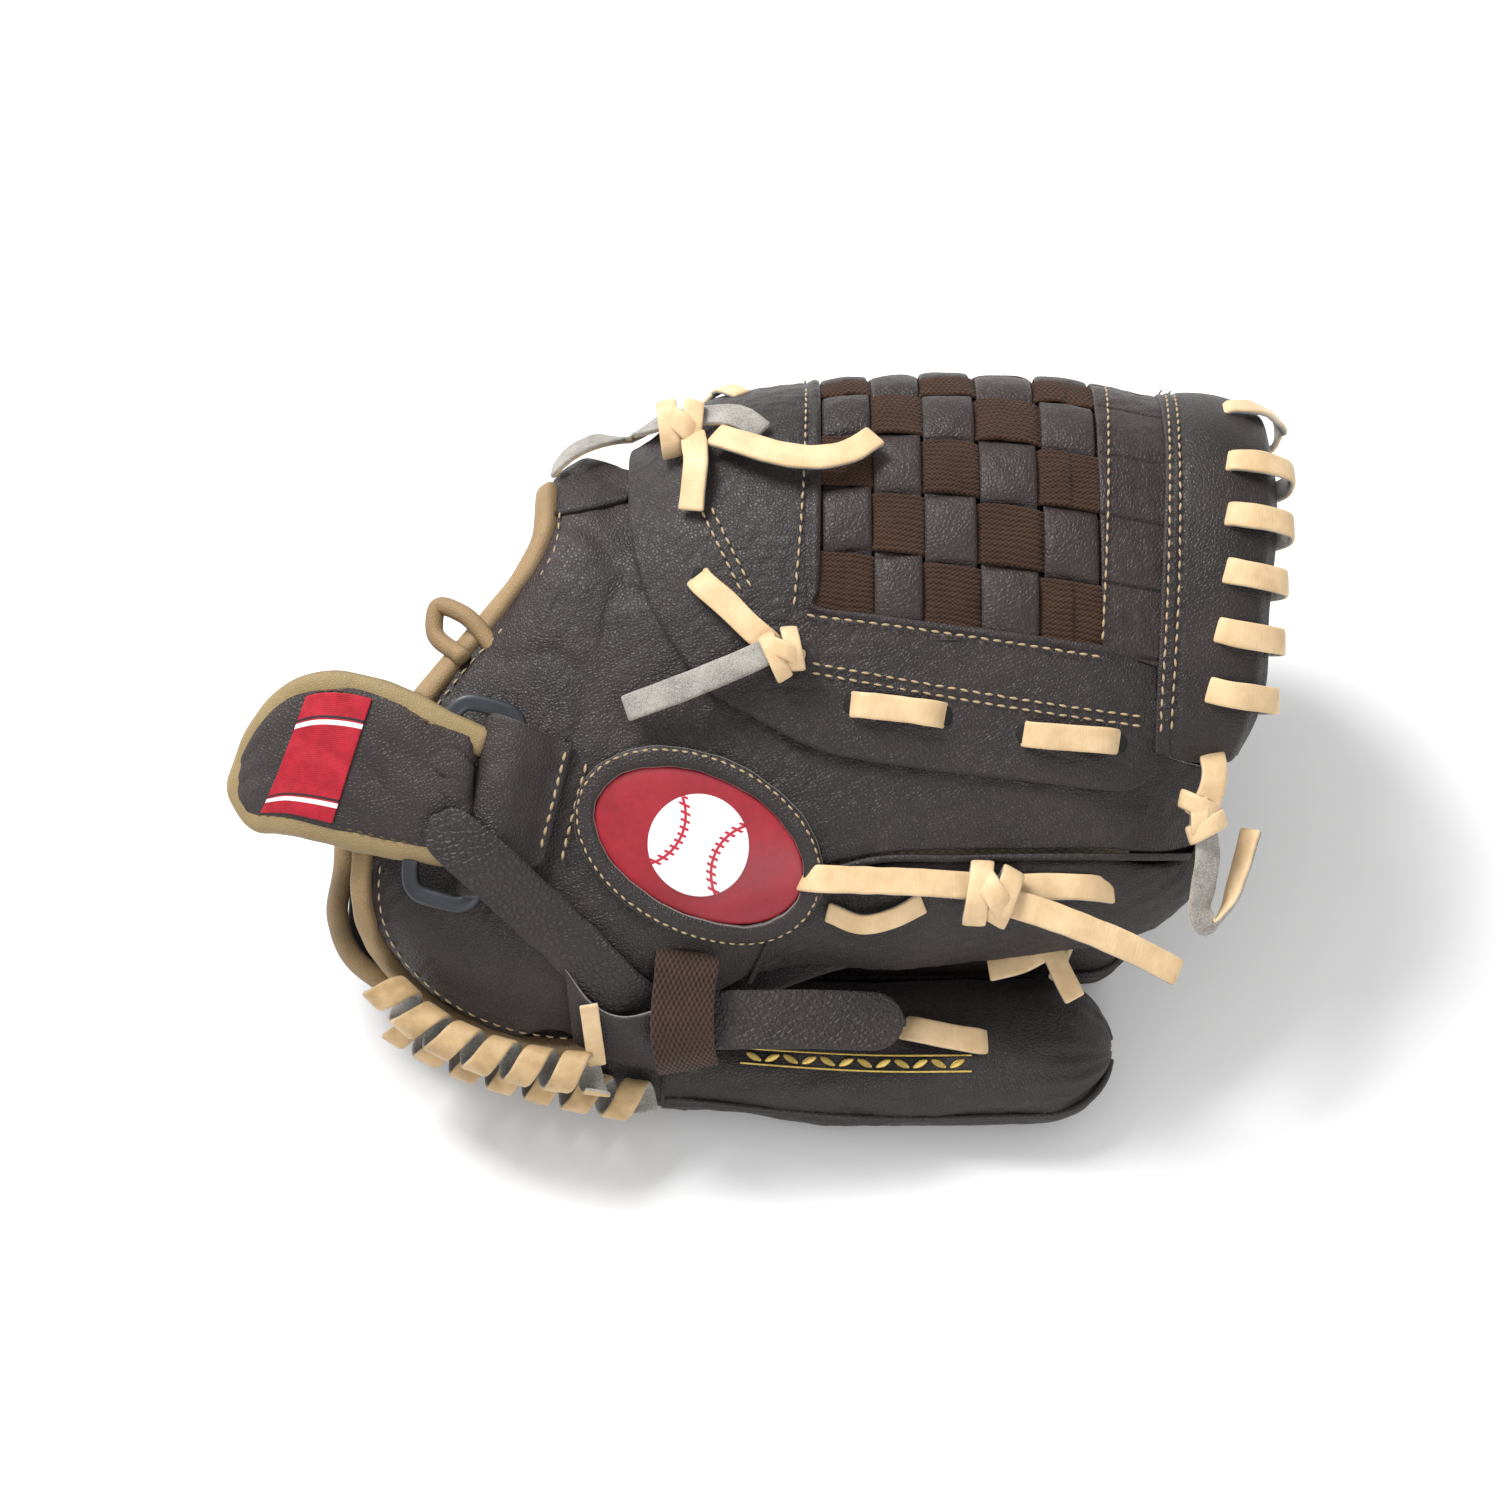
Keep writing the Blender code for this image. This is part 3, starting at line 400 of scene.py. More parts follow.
class Skin:
    """The outer surface from the thumb's lower edge, over the web, to the index finger.

    Its coordinates are u and the arc length from the crest, negative on the thumb's side.
    Each section is a straight rise to the shoulder and then a superellipse arch.
    """
    LOWER_EDGE = mm((-130, 58), (-116, 52), (-96, 36), (-72, 26), (-46, 25), (-20, 36), (-3, 45.5),
        (33, 48.9), (72, 52), (102, 56.5), (129, 67), (137.5, 80), (157, 88))
    CREST = mm((-130, 152), (-96, 157), (-78, 176), (-63.5, 203), (-36, 208), (-18, 220.5), (21, 227.8),
        (57, 229.8), (99, 227.2), (123, 222.2), (143.7, 219), (157, 211))
    FRONT = mm((-130, -4), (-110, 0), (-60, 6), (0, 13), (60, 14), (110, 11), (130, 7), (157, 2))
    BACK = mm((-130, -92), (-60, -113), (0, -121), (60, -124), (110, -118), (157, -104))
    SHOULDER, ARCH_POWER, ROLL = 0.42, 2.4, 0.026
    TIP_START, TIP_FALL, TIP_HEIGHT = 0.106, 0.016, 0.128

    def __init__(self) -> None:
        """Work out the sections once, on an even grid of u and arc length."""
        self.us = np.linspace(-0.13, 0.157, 360)
        self.arcs = np.linspace(-0.27, 0.13, 801)
        self.heights = np.linspace(0.0, 0.235, 471)
        sections = [self.section(float(u)) for u in self.us]
        self.table = np.array([np.stack([np.interp(self.arcs, a, v), np.interp(self.arcs, a, w)], -1)
                               for a, v, w in sections])
        crest = [int(np.argmax(v)) + 1 for _, v, _ in sections]
        self.near_table = np.array([np.interp(self.heights, v[:c], a[:c])
                                    for (a, v, _), c in zip(sections, crest)])

    def section(self, u: float) -> tuple[Array, Array, Array]:
        """Arc length from the crest, v and w of the section at u."""
        low, top = smooth(self.LOWER_EDGE, u), smooth(self.CREST, u)
        front, back = smooth(self.FRONT, u), smooth(self.BACK, u)
        shoulder = low + self.SHOULDER * (top - low)
        tip = ease((u - self.TIP_START) / 0.034)
        rise = np.linspace(0.0, 1.0, 24)
        turn = np.linspace(0.0, math.pi, 161)[1:]
        across, up = np.cos(turn), np.sin(turn)
        v = np.concatenate([low + rise * (shoulder - low),
                            shoulder + (top - shoulder) * np.abs(up) ** (2 / self.ARCH_POWER)])
        w = np.concatenate([front - self.ROLL * (1 - 0.5 * tip) * (1 - rise) ** 4,
                            (front + back) / 2 + (front - back) / 2 * np.sign(across)
                            * np.abs(across) ** (2 / self.ARCH_POWER)])
        on_near_side = np.arange(len(v)) < np.argmax(v)
        w = w - np.where(on_near_side, self.TIP_FALL * tip * ease((self.TIP_HEIGHT - v) / 0.03), 0.0)
        arc = np.concatenate([[0.0], np.cumsum(np.hypot(np.diff(v), np.diff(w)))])
        return arc - arc[np.argmax(v)], v, w

    @staticmethod
    def read(table: Array, first: Array, second: Array) -> Array:
        """Values between a grid's corners, weighted by the distance to each."""
        i = np.clip(first.astype(int), 0, table.shape[0] - 2)
        j = np.clip(second.astype(int), 0, table.shape[1] - 2)
        a, b = np.clip(first - i, 0, 1), np.clip(second - j, 0, 1)
        if table.ndim == 3:
            a, b = a[..., None], b[..., None]
        return ((1 - a) * (1 - b) * table[i, j] + a * (1 - b) * table[i + 1, j]
                + (1 - a) * b * table[i, j + 1] + a * b * table[i + 1, j + 1])

    def near(self, u: Scalar, v: Scalar) -> Array:
        """Arc length of the thumb side's point at u and height v."""
        u, v = np.broadcast_arrays(np.asarray(u, float), np.asarray(v, float))
        return self.read(self.near_table, (u - self.us[0]) / (self.us[1] - self.us[0]),
                         (v - self.heights[0]) / (self.heights[1] - self.heights[0]))

    def line(self, *pairs: Pair) -> list[Pair]:
        """Skin coordinates of (u, v) places on the thumb's side."""
        return [(u, float(self.near(u, v))) for u, v in pairs]

    def bare(self, u: Array, arc: Array) -> Array:
        """Points of the skin itself; past the ends of u it runs on straight."""
        u, arc = np.broadcast_arrays(np.asarray(u, float), np.asarray(arc, float))
        vw = self.read(self.table, (u - self.us[0]) / (self.us[1] - self.us[0]),
                       (arc - self.arcs[0]) / (self.arcs[1] - self.arcs[0]))
        return np.concatenate([u[..., None], vw], axis=-1)

    def normal(self, u: Array, arc: Array) -> Array:
        """Unit normals: the step along u crossed with the step along the arc."""
        step = 0.0016
        held = np.clip(u, self.us[0] + step, self.us[-1] - step)
        return unit(np.cross(self.bare(held + step, arc) - self.bare(held - step, arc),
                             self.bare(held, arc + step) - self.bare(held, arc - step)))

    def point(self, u: Array, arc: Array, out: Scalar = 0.0) -> Array:
        """Points moved out of the skin along its normal."""
        return self.bare(u, arc) + self.normal(u, arc) * np.asarray(out, float)[..., None]


SKIN = Skin()


def patch(lower: Sequence[Pair], upper: Sequence[Pair], out: float, size: Pair, counts: tuple[int, int],
          thickness: float = LEATHER, relief: Optional[Callable[[Array, Array, Array, Array], Array]] = None,
          radius: float = 0.0016) -> Shape:
    """A leather sheet on the skin between two edges with matching stops.

    Args:
        lower: skin coordinates of one edge.
        upper: as many along the other.
        out: how far the sheet's middle stands out of the skin.
        size: the sheet's rough height and width.
        counts: rows and columns inside the edges.
        thickness: full thickness.
        relief: extra height from u, arc and the two steps.
        radius: how far in the rounded edge reaches.

    Returns:
        The sheet.
    """
    rows, columns = edged(counts[0], size[0], radius), edged(counts[1], size[1], radius)
    low, high = by_index(lower, columns), by_index(upper, columns)
    place = low[None] * (1 - rows[:, None, None]) + high[None] * rows[:, None, None]
    u, arc = place[..., 0], place[..., 1]
    s, t = np.broadcast_arrays(columns[None, :], rows[:, None])
    rise = out + (relief(u, arc, s, t) if relief else 0.0)
    return slab(SKIN.point(u, arc, np.broadcast_to(rise, u.shape)), SKIN.normal(u, arc), thickness,
                (rows, columns), size, radius)


def skin_line(stops: Table, out: float, count: int = 160) -> tuple[Array, Array]:
    """Points and normals along a smooth line through (u, v) stops on the thumb's side."""
    u, v = by_length(stops, count).T
    arc = SKIN.near(u, v)
    return SKIN.point(u, arc, np.full(u.shape, out)), SKIN.normal(u, arc)


def arc_line(stops: Sequence[Pair], out: float, count: int = 160) -> tuple[Array, Array]:
    """Points and normals along a smooth line through skin coordinates."""
    u, arc = by_length(stops, count).T
    return SKIN.point(u, arc, np.full(u.shape, out)), SKIN.normal(u, arc)


def skin_lace(stops: Table, width: float = LACE_WIDTH, thickness: float = LACE_THICK,
              count: int = 36, turned: bool = False, seed: int = 1, power: float = 5.0,
              round_end: float = 0.0) -> Shape:
    """A lace through (u, v, out) stops on the thumb's side; turned shows its suede side."""
    u, v, out = by_length(stops, count).T
    arc = SKIN.near(u, v)
    normals = SKIN.normal(u, arc) * (-1.0 if turned else 1.0)
    return strap(SKIN.point(u, arc, out), normals, width, thickness, count, power, 0.035, seed, round_end)


def wrap_ring(centre: Array, along: Array, up: Array, radii: Pair, width: float, slant: float) -> Shape:
    """A turn of lace round a knot: an oval ring about the lace's own direction, tilted by slant."""
    angle = math.tau * np.arange(28)[:, None] / 28
    along, up = unit(along), unit(up)
    side = unit(np.cross(up, along))
    up = np.cross(along, side)
    outward = side * np.cos(angle) + up * np.sin(angle)
    path = centre + side * radii[0] * np.cos(angle) + up * radii[1] * np.sin(angle)
    path = path + along * slant * np.cos(angle)
    return sweep(path, outward, width / 2, LACE_THICK / 2, 4.0, 12, closed=True)


# Finishes -----------------------------------------------------------------------------------

class Value:
    """A shader socket that Python's operators add Math nodes to."""

    def __init__(self, graph: "Graph", socket: bpy.types.NodeSocket) -> None:
        """Hold a socket of the graph."""
        self.graph, self.socket = graph, socket

    def math(self, operation: str, *others: "Number", first: Optional["Number"] = None) -> "Value":
        """A Math node on this value, or on first and then this value."""
        inputs = dict(enumerate((first, self) if first is not None else (self, *others)))
        return self.graph.value("ShaderNodeMath", {"operation": operation}, inputs)

    def __add__(self, other: "Number") -> "Value":
        """Sum."""
        return self.math("ADD", other)

    def __sub__(self, other: "Number") -> "Value":
        """Difference."""
        return self.math("SUBTRACT", other)

    def __rsub__(self, other: "Number") -> "Value":
        """Reflected difference, as in 1 - mask."""
        return self.math("SUBTRACT", first=other)

    def __mul__(self, other: "Number") -> "Value":
        """Product."""
        return self.math("MULTIPLY", other)

    __radd__, __rmul__ = __add__, __mul__

    def between(self, low: float, high: float) -> "Value":
        """0 below low, 1 above high, and a smooth step from one to the other."""
        node = {"interpolation_type": "SMOOTHSTEP"}
        return self.graph.value("ShaderNodeMapRange", node,
                                {"Value": self, "From Min": low, "From Max": high})


Number = Union[float, Value]


class Graph:
    """The nodes of one material."""

    def __init__(self, name: str) -> None:
        """Start a material that has its shader and output alone."""
        self.material = bpy.data.materials.new(name)
        self.material.use_nodes = True
        self.tree = self.material.node_tree
        self.shader = self.tree.nodes["Principled BSDF"]

    def node(self, kind: str, settings: Optional[dict] = None, inputs: Optional[dict] = None
             ) -> bpy.types.Node:
        """Add a node.

        Args:
            kind: the node's type.
            settings: properties, set first.
            inputs: values or links by socket name or number.

        Returns:
            The node.
        """
        made = self.tree.nodes.new(kind)
        for key, setting in (settings or {}).items():
            setattr(made, key, setting)
        for key, value in (inputs or {}).items():
            self.feed(made.inputs[key], value)
        return made

    def feed(self, socket: bpy.types.NodeSocket, value: object) -> None:
        """Link a value or a socket into a socket, or set it to a plain value."""
        if isinstance(value, Value):
            value = value.socket
        if isinstance(value, bpy.types.NodeSocket):
            self.tree.links.new(value, socket)
        elif isinstance(value, tuple) and len(value) == 3 and socket.type == "RGBA":
            socket.default_value = (*value, 1.0)
        else:
            socket.default_value = value

    def value(self, kind: str, settings: Optional[dict] = None, inputs: Optional[dict] = None,
              output: Union[int, str] = 0) -> Value:
        """Add a node and take one of its outputs as a value."""
        return Value(self, self.node(kind, settings, inputs).outputs[output])

    def places(self, scale: Sequence[float] = (1.0, 1.0, 1.0), on_surface: bool = False) -> Value:
        """Object coordinates, or the piece's own UV map, stretched by scale."""
        source = self.value("ShaderNodeTexCoord", output="UV" if on_surface else "Object")
        return self.value("ShaderNodeMapping", {}, {"Vector": source, "Scale": tuple(scale)})

    def noise(self, scale: float, detail: float = 3.0, rough: float = 0.55,
              where: Optional[Value] = None) -> Value:
        """A noise value from about 0 to 1."""
        return self.value("ShaderNodeTexNoise", {}, {"Vector": where or self.places(), "Scale": scale,
                                                     "Detail": detail, "Roughness": rough})

    def cell_edges(self, scale: float) -> Value:
        """Distance to the nearest edge between cells."""
        inputs = {"Vector": self.places(), "Scale": scale}
        return self.value("ShaderNodeTexVoronoi", {"feature": "DISTANCE_TO_EDGE"}, inputs, "Distance")

    def mark(self, name: str) -> Value:
        """A value kept on the piece's own vertices."""
        return self.value("ShaderNodeAttribute", {"attribute_name": name}, output="Fac")

    def blend(self, share: Number, first: object, second: object) -> Value:
        """Colour that goes from first to second as share goes from 0 to 1."""
        return self.value("ShaderNodeMix", {"data_type": "RGBA"}, {0: share, 6: first, 7: second}, 2)

    def bump(self, height: Value, depth: float, strength: float = 1.0) -> None:
        """Feed a height, in units of depth, into the shader's normal."""
        inputs = {"Height": height, "Distance": depth, "Strength": strength}
        self.feed(self.shader.inputs["Normal"], self.value("ShaderNodeBump", {}, inputs))

    def finish(self, colour: object, roughness: Number, **fixed: object) -> bpy.types.Material:
        """Set the shader's colour and roughness, and its fixed sockets by name."""
        self.feed(self.shader.inputs["Base Color"], colour)
        self.feed(self.shader.inputs["Roughness"], roughness)
        for name, value in fixed.items():
            self.feed(self.shader.inputs[name.replace("_", " ").title().replace("Ior", "IOR")], value)
        return self.material


@dataclass(frozen=True)
class LeatherFinish:
    """Dyed cowhide: mottled colour, cell grain with pores, fine wrinkles, dark cut edges and a painted highlight along
    the rounded edges.
    """
    name: str
    dark: Colour = (0.015, 0.0102, 0.0097)
    light: Colour = (0.04, 0.0285, 0.0275)
    cut: Colour = (0.012, 0.009, 0.009)
    roughness: float = 0.47
    grain: float = 900.0
    depth: float = 0.00028
    wrinkle: float = 0.5

    def build(self) -> bpy.types.Material:
        """Grain is the distance to cell edges; the wrinkles are a stretched noise."""
        g = Graph(self.name)
        mottle = g.noise(38.0, 5.0, 0.62)
        patches = g.noise(11.0, 2.0, 0.5)
        wander = g.places((1.0, 0.6, 1.6))
        wrinkle = g.noise(230.0, 4.0, 0.6, wander)
        cell = g.cell_edges(self.grain).between(0.0, 0.28)
        pores = g.noise(1900.0, 1.0, 0.5)
        tone = g.blend(((mottle * 0.6) + (patches * 0.5)).between(0.36, 0.78), self.dark, self.light)
        tone = g.blend((1 - cell) * 0.35, tone, self.dark)
        tone = g.blend(wrinkle.between(0.58, 0.74) * 0.22, tone, (0.066, 0.053, 0.052))
        edge = g.mark("edge")
        # Painted highlight: a pale grey band where the sheet's edge rounds over, standing for light caught on that
        # rounded edge.
        tone = g.blend((edge * (mottle + 0.45)).between(0.18, 0.42) * 0.22, tone, (0.095, 0.083, 0.079))
        tone = g.blend(edge.between(0.55, 0.95) * 0.85, tone, self.cut)
        g.bump((cell * 0.55) + (wrinkle * self.wrinkle * 1.6) + (pores * 0.16), self.depth, 0.9)
        rough = ((mottle * 0.16) + (self.roughness - 0.1)) + ((1 - cell) * 0.1)
        return g.finish(tone, rough, sheen_weight=0.04, sheen_roughness=0.35,
                        sheen_tint=(0.74, 0.68, 0.72, 1.0), specular_ior_level=0.4)


@dataclass(frozen=True)
class LaceFinish:
    """Tan rawhide lace: smooth grain side with fine cross creases, grey suede behind."""
    name: str = "tan_lace_leather"
    tan: Colour = (0.56, 0.385, 0.205)
    pale: Colour = (0.68, 0.495, 0.285)

    def build(self) -> bpy.types.Material:
        """The front value chooses the side; creases are noise squeezed along the lace."""
        g = Graph(self.name)
        mottle = g.noise(120.0, 4.0, 0.6)
        across = g.noise(1.0, 3.0, 0.6, g.places((1500.0, 130.0, 1.0), True))
        nap = g.noise(2600.0, 2.0, 0.7)
        grain = g.blend(mottle.between(0.3, 0.7), self.tan, self.pale)
        grain = g.blend(across.between(0.6, 0.75) * 0.3, grain, (0.4, 0.26, 0.13))
        back = g.blend((nap * 0.7 + mottle * 0.5).between(0.4, 0.8), (0.15, 0.14, 0.125), (0.42, 0.395, 0.36))
        front = g.mark("front").between(0.25, 0.6)
        g.bump((across * front * 0.9) + (nap * (1 - front) * 1.6) + (mottle * 0.3), 0.00022, 0.8)
        return g.finish(g.blend(front, back, grain), (1 - front) * 0.38 + 0.5, sheen_weight=0.15,
                        specular_ior_level=0.35)


@dataclass(frozen=True)
class ClothFinish:
    """Woven or knitted yarn, felt and suede: a fibrous colour with yarn lines along the piece."""
    name: str
    dark: Colour
    light: Colour
    yarn: tuple[float, float] = (1.0, 1.0)
    depth: float = 0.0003
    roughness: float = 0.92

    def build(self) -> bpy.types.Material:
        """Yarns are two sine waves of the UV place, multiplied; fibres are a fine noise."""
        g = Graph(self.name)
        place = g.node("ShaderNodeSeparateXYZ", {}, {0: g.places(on_surface=True)})
        lines = [Value(g, place.outputs[i]) * (math.tau / pitch) for i, pitch in enumerate(self.yarn)]
        weave = (lines[0].math("SINE") * lines[1].math("SINE")) * 0.5 + 0.5
        fibre = g.noise(1700.0, 3.0, 0.7)
        patches = g.noise(60.0, 3.0, 0.6)
        share = (weave * 0.45 + fibre * 0.45 + patches * 0.3).between(0.25, 0.95)
        g.bump(weave + fibre * 0.7, self.depth, 0.9)
        return g.finish(g.blend(share, self.dark, self.light), self.roughness, sheen_weight=0.08,
                        sheen_roughness=0.5, specular_ior_level=0.15)


@dataclass(frozen=True)
class SmoothFinish:
    """Moulded, printed or coated surfaces: small colour drift, fine texture and a set gloss."""
    name: str
    dark: Colour
    light: Colour
    roughness: float
    texture: float = 900.0
    depth: float = 0.00008
    metallic: float = 0.0
    coat: float = 0.0

    def build(self) -> bpy.types.Material:
        """Two noises drift the colour and roughen the surface."""
        g = Graph(self.name)
        drift = g.noise(70.0, 4.0, 0.6)
        fine = g.noise(self.texture, 3.0, 0.6)
        g.bump(fine + drift * 0.6, self.depth, 0.8)
        colour = g.blend((drift * 0.7 + fine * 0.4).between(0.3, 0.8), self.dark, self.light)
        return g.finish(colour, drift * 0.14 + (self.roughness - 0.07), metallic=self.metallic,
                        coat_weight=self.coat, coat_roughness=0.2)


@dataclass(frozen=True)
class StripedLabelFinish:
    """Red woven label with a white and a black stripe near each end."""
    name: str = "woven_label_red"
    stripes: tuple[Pair, ...] = ((0.0048, 0.0013), (0.0262, 0.0013))
    lines: tuple[Pair, ...] = ((0.0062, 0.0007), (0.0276, 0.0007))

    def build(self) -> bpy.types.Material:
        """A stripe is where the UV's second value is within half a width of its middle."""
        g = Graph(self.name)
        place = g.node("ShaderNodeSeparateXYZ", {}, {0: g.places(on_surface=True)})
        along, up = Value(g, place.outputs[0]), Value(g, place.outputs[1])
        thread = (up * (math.tau / 0.0005)).math("SINE") * 0.5 + 0.5
        cross = (along * (math.tau / 0.0007)).math("SINE") * 0.5 + 0.5
        fade = g.noise(240.0, 3.0, 0.6)
        colour = g.blend(fade.between(0.3, 0.7), (0.3, 0.0045, 0.016), (0.41, 0.01, 0.025))
        for group, tone in ((self.stripes, (0.8, 0.78, 0.76)), (self.lines, (0.02, 0.015, 0.018))):
            for middle, width in group:
                near = (up - middle).math("ABSOLUTE")
                colour = g.blend(1 - near.between(width * 0.4, width * 0.55), colour, tone)
        g.bump(thread * 0.7 + cross * 0.5, 0.0001, 0.7)
        return g.finish(colour, 0.66, specular_ior_level=0.3)


@dataclass(frozen=True)
class BallPrintFinish:
    """White printed ball with two curved red seams and a fine crackle."""
    name: str = "white_ball_print"
    offset: float = 0.0205
    radius: float = 0.015
    line: float = 0.0005

    def build(self) -> bpy.types.Material:
        """A seam is where the distance to a centre, offset to one side, is near the radius."""
        g = Graph(self.name)
        place = g.places(on_surface=True)
        colour: object = g.blend(g.noise(300.0, 4.0, 0.6).between(0.35, 0.65), (0.72, 0.72, 0.74), (0.86, 0.86, 0.87))
        for side in (-1.0, 1.0):
            centre = (side * self.offset, 0.0, 0.0)
            gap = g.value("ShaderNodeVectorMath", {"operation": "DISTANCE"}, {0: place, 1: centre}, "Value")
            off = (gap - self.radius).math("ABSOLUTE")
            tick = (Value(g, g.node("ShaderNodeSeparateXYZ", {}, {0: place}).outputs[1])
                    * (math.tau / 0.0021)).math("SINE").between(0.2, 0.5)
            reach = (1 - off.between(0.0013, 0.0016)) * tick
            band = (1 - off.between(self.line * 0.7, self.line)).math("MAXIMUM", reach)
            colour = g.blend(band, colour, (0.4, 0.012, 0.03))
        g.bump(g.noise(700.0, 3.0, 0.6), 0.00006, 0.6)
        return g.finish(colour, 0.42)


class Finishes:
    """Every finish of the glove, built once."""

    def __init__(self) -> None:
        """Build the materials."""
        self.shell = LeatherFinish("shell_cowhide").build()
        # Painted shade: the thumb's front panel is the shell leather made darker for the shade under the welt.
        self.panel = LeatherFinish("thumb_front_cowhide_painted_shade", (0.014, 0.01, 0.0095), (0.036, 0.0265, 0.0258)).build()
        self.web = LeatherFinish("web_cowhide", (0.0165, 0.0104, 0.0094), (0.045, 0.03, 0.0275), grain=760.0).build()
        self.palm = LeatherFinish("palm_leather", (0.013, 0.0096, 0.0092), (0.031, 0.0235, 0.0228),
                                  roughness=0.44, wrinkle=0.35).build()
        self.pebbled = LeatherFinish("pebbled_strap_leather", (0.016, 0.0112, 0.0105),
            (0.039, 0.029, 0.028), grain=560.0, depth=0.00055, roughness=0.52).build()
        self.raw = LeatherFinish("raw_edge_leather", (0.016, 0.0112, 0.0105), (0.039, 0.029, 0.028),
                                 cut=(0.3, 0.28, 0.26)).build()
        self.binding = LeatherFinish("tan_binding_leather", (0.22, 0.14, 0.062), (0.38, 0.255, 0.128),
            cut=(0.2, 0.13, 0.06), grain=1200.0, depth=0.00018, roughness=0.55).build()
        self.pad_binding = LeatherFinish("olive_binding_leather", (0.2, 0.14, 0.06), (0.33, 0.24, 0.115),
            cut=(0.18, 0.12, 0.05), grain=1200.0, depth=0.00018, roughness=0.55).build()
        self.lace = LaceFinish().build()
        # Painted shade: the heel lace is the tan lace darkened to stand for the shade that the heel lacing lies in.
        self.heel_lace = LaceFinish("heel_lace_painted_shade", (0.34, 0.22, 0.1), (0.5, 0.345, 0.175)).build()
        self.knit = ClothFinish("ribbed_brown_knit", (0.018, 0.0085, 0.005), (0.07, 0.036, 0.022),
                                (0.0016, 0.0009)).build()
        self.keeper = ClothFinish("brown_hook_tape", (0.016, 0.0085, 0.006), (0.09, 0.052, 0.038),
                                  (0.003, 0.0015), 0.0006).build()
        self.felt = ClothFinish("palm_felt", (0.2, 0.165, 0.12), (0.4, 0.35, 0.28), (0.003, 0.002)).build()
        self.thread = ClothFinish("cream_thread", (0.3, 0.215, 0.115), (0.55, 0.43, 0.26), (0.0006, 0.0005),
            0.0001, 0.75).build()
        self.dark_thread = ClothFinish("brown_thread", (0.055, 0.04, 0.018), (0.13, 0.09, 0.04),
            (0.0006, 0.0005), 0.0001, 0.8).build()
        self.red = SmoothFinish("red_vinyl", (0.22, 0.0028, 0.011), (0.32, 0.006, 0.018), 0.46, 420.0,
            0.00012, coat=0.08).build()
        self.print = BallPrintFinish().build()
        self.plastic = SmoothFinish("black_moulded_plastic", (0.009, 0.011, 0.015), (0.022, 0.026, 0.033),
                                    0.4, 1500.0, 0.00005).build()
        self.foil = SmoothFinish("gold_foil", (0.3, 0.2, 0.045), (0.62, 0.46, 0.14), 0.38, 1200.0, 0.00006,
            metallic=0.75).build()
        self.label = StripedLabelFinish().build()
        # Painted shadow: near black for the shade inside the punched holes.
        self.hole = SmoothFinish("punched_hole_painted_shadow", (0.002, 0.0017, 0.0015), (0.006, 0.005, 0.0045), 0.85).build()


def put(name: str, shape: Shape, finish: bpy.types.Material, body: Optional[Body],
        replaces: Sequence[str] = ()) -> Piece:
    """Make a piece from a shape, dress it, and let it ride on its body.

    Args:
        name: the piece's name.
        shape: its mesh in the glove's frame.
        finish: its material.
        body: the body that it moves with, or None to leave it on no body.
        replaces: CAD nodes that it stands for.

    Returns:
        The piece, at the origin.
    """
    mesh = bpy.data.meshes.new(name)
    mesh.from_pydata(world(shape.points).tolist(), [], shape.faces)
    layer = mesh.uv_layers.new(name="surface")
    corners = np.empty(len(mesh.loops), np.int32)
    mesh.loops.foreach_get("vertex_index", corners)
    layer.data.foreach_set("uv", shape.uv[corners].astype(np.float32).ravel())
    for key, values in shape.values.items():
        mesh.attributes.new(key, "FLOAT", "POINT").data.foreach_set("value", values.astype(np.float32))
    mesh.shade_smooth()
    mesh.materials.append(finish)
    obj = bpy.data.objects.new(name, mesh)
    bpy.context.scene.collection.objects.link(obj)
    if body:
        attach(obj, body.value)
    if replaces:
        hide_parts(*replaces)
    LOG.info("%s: %d faces on %s", name, len(shape.faces), body.value if body else "two bodies")
    return obj


# Thumb half ---------------------------------------------------------------------------------

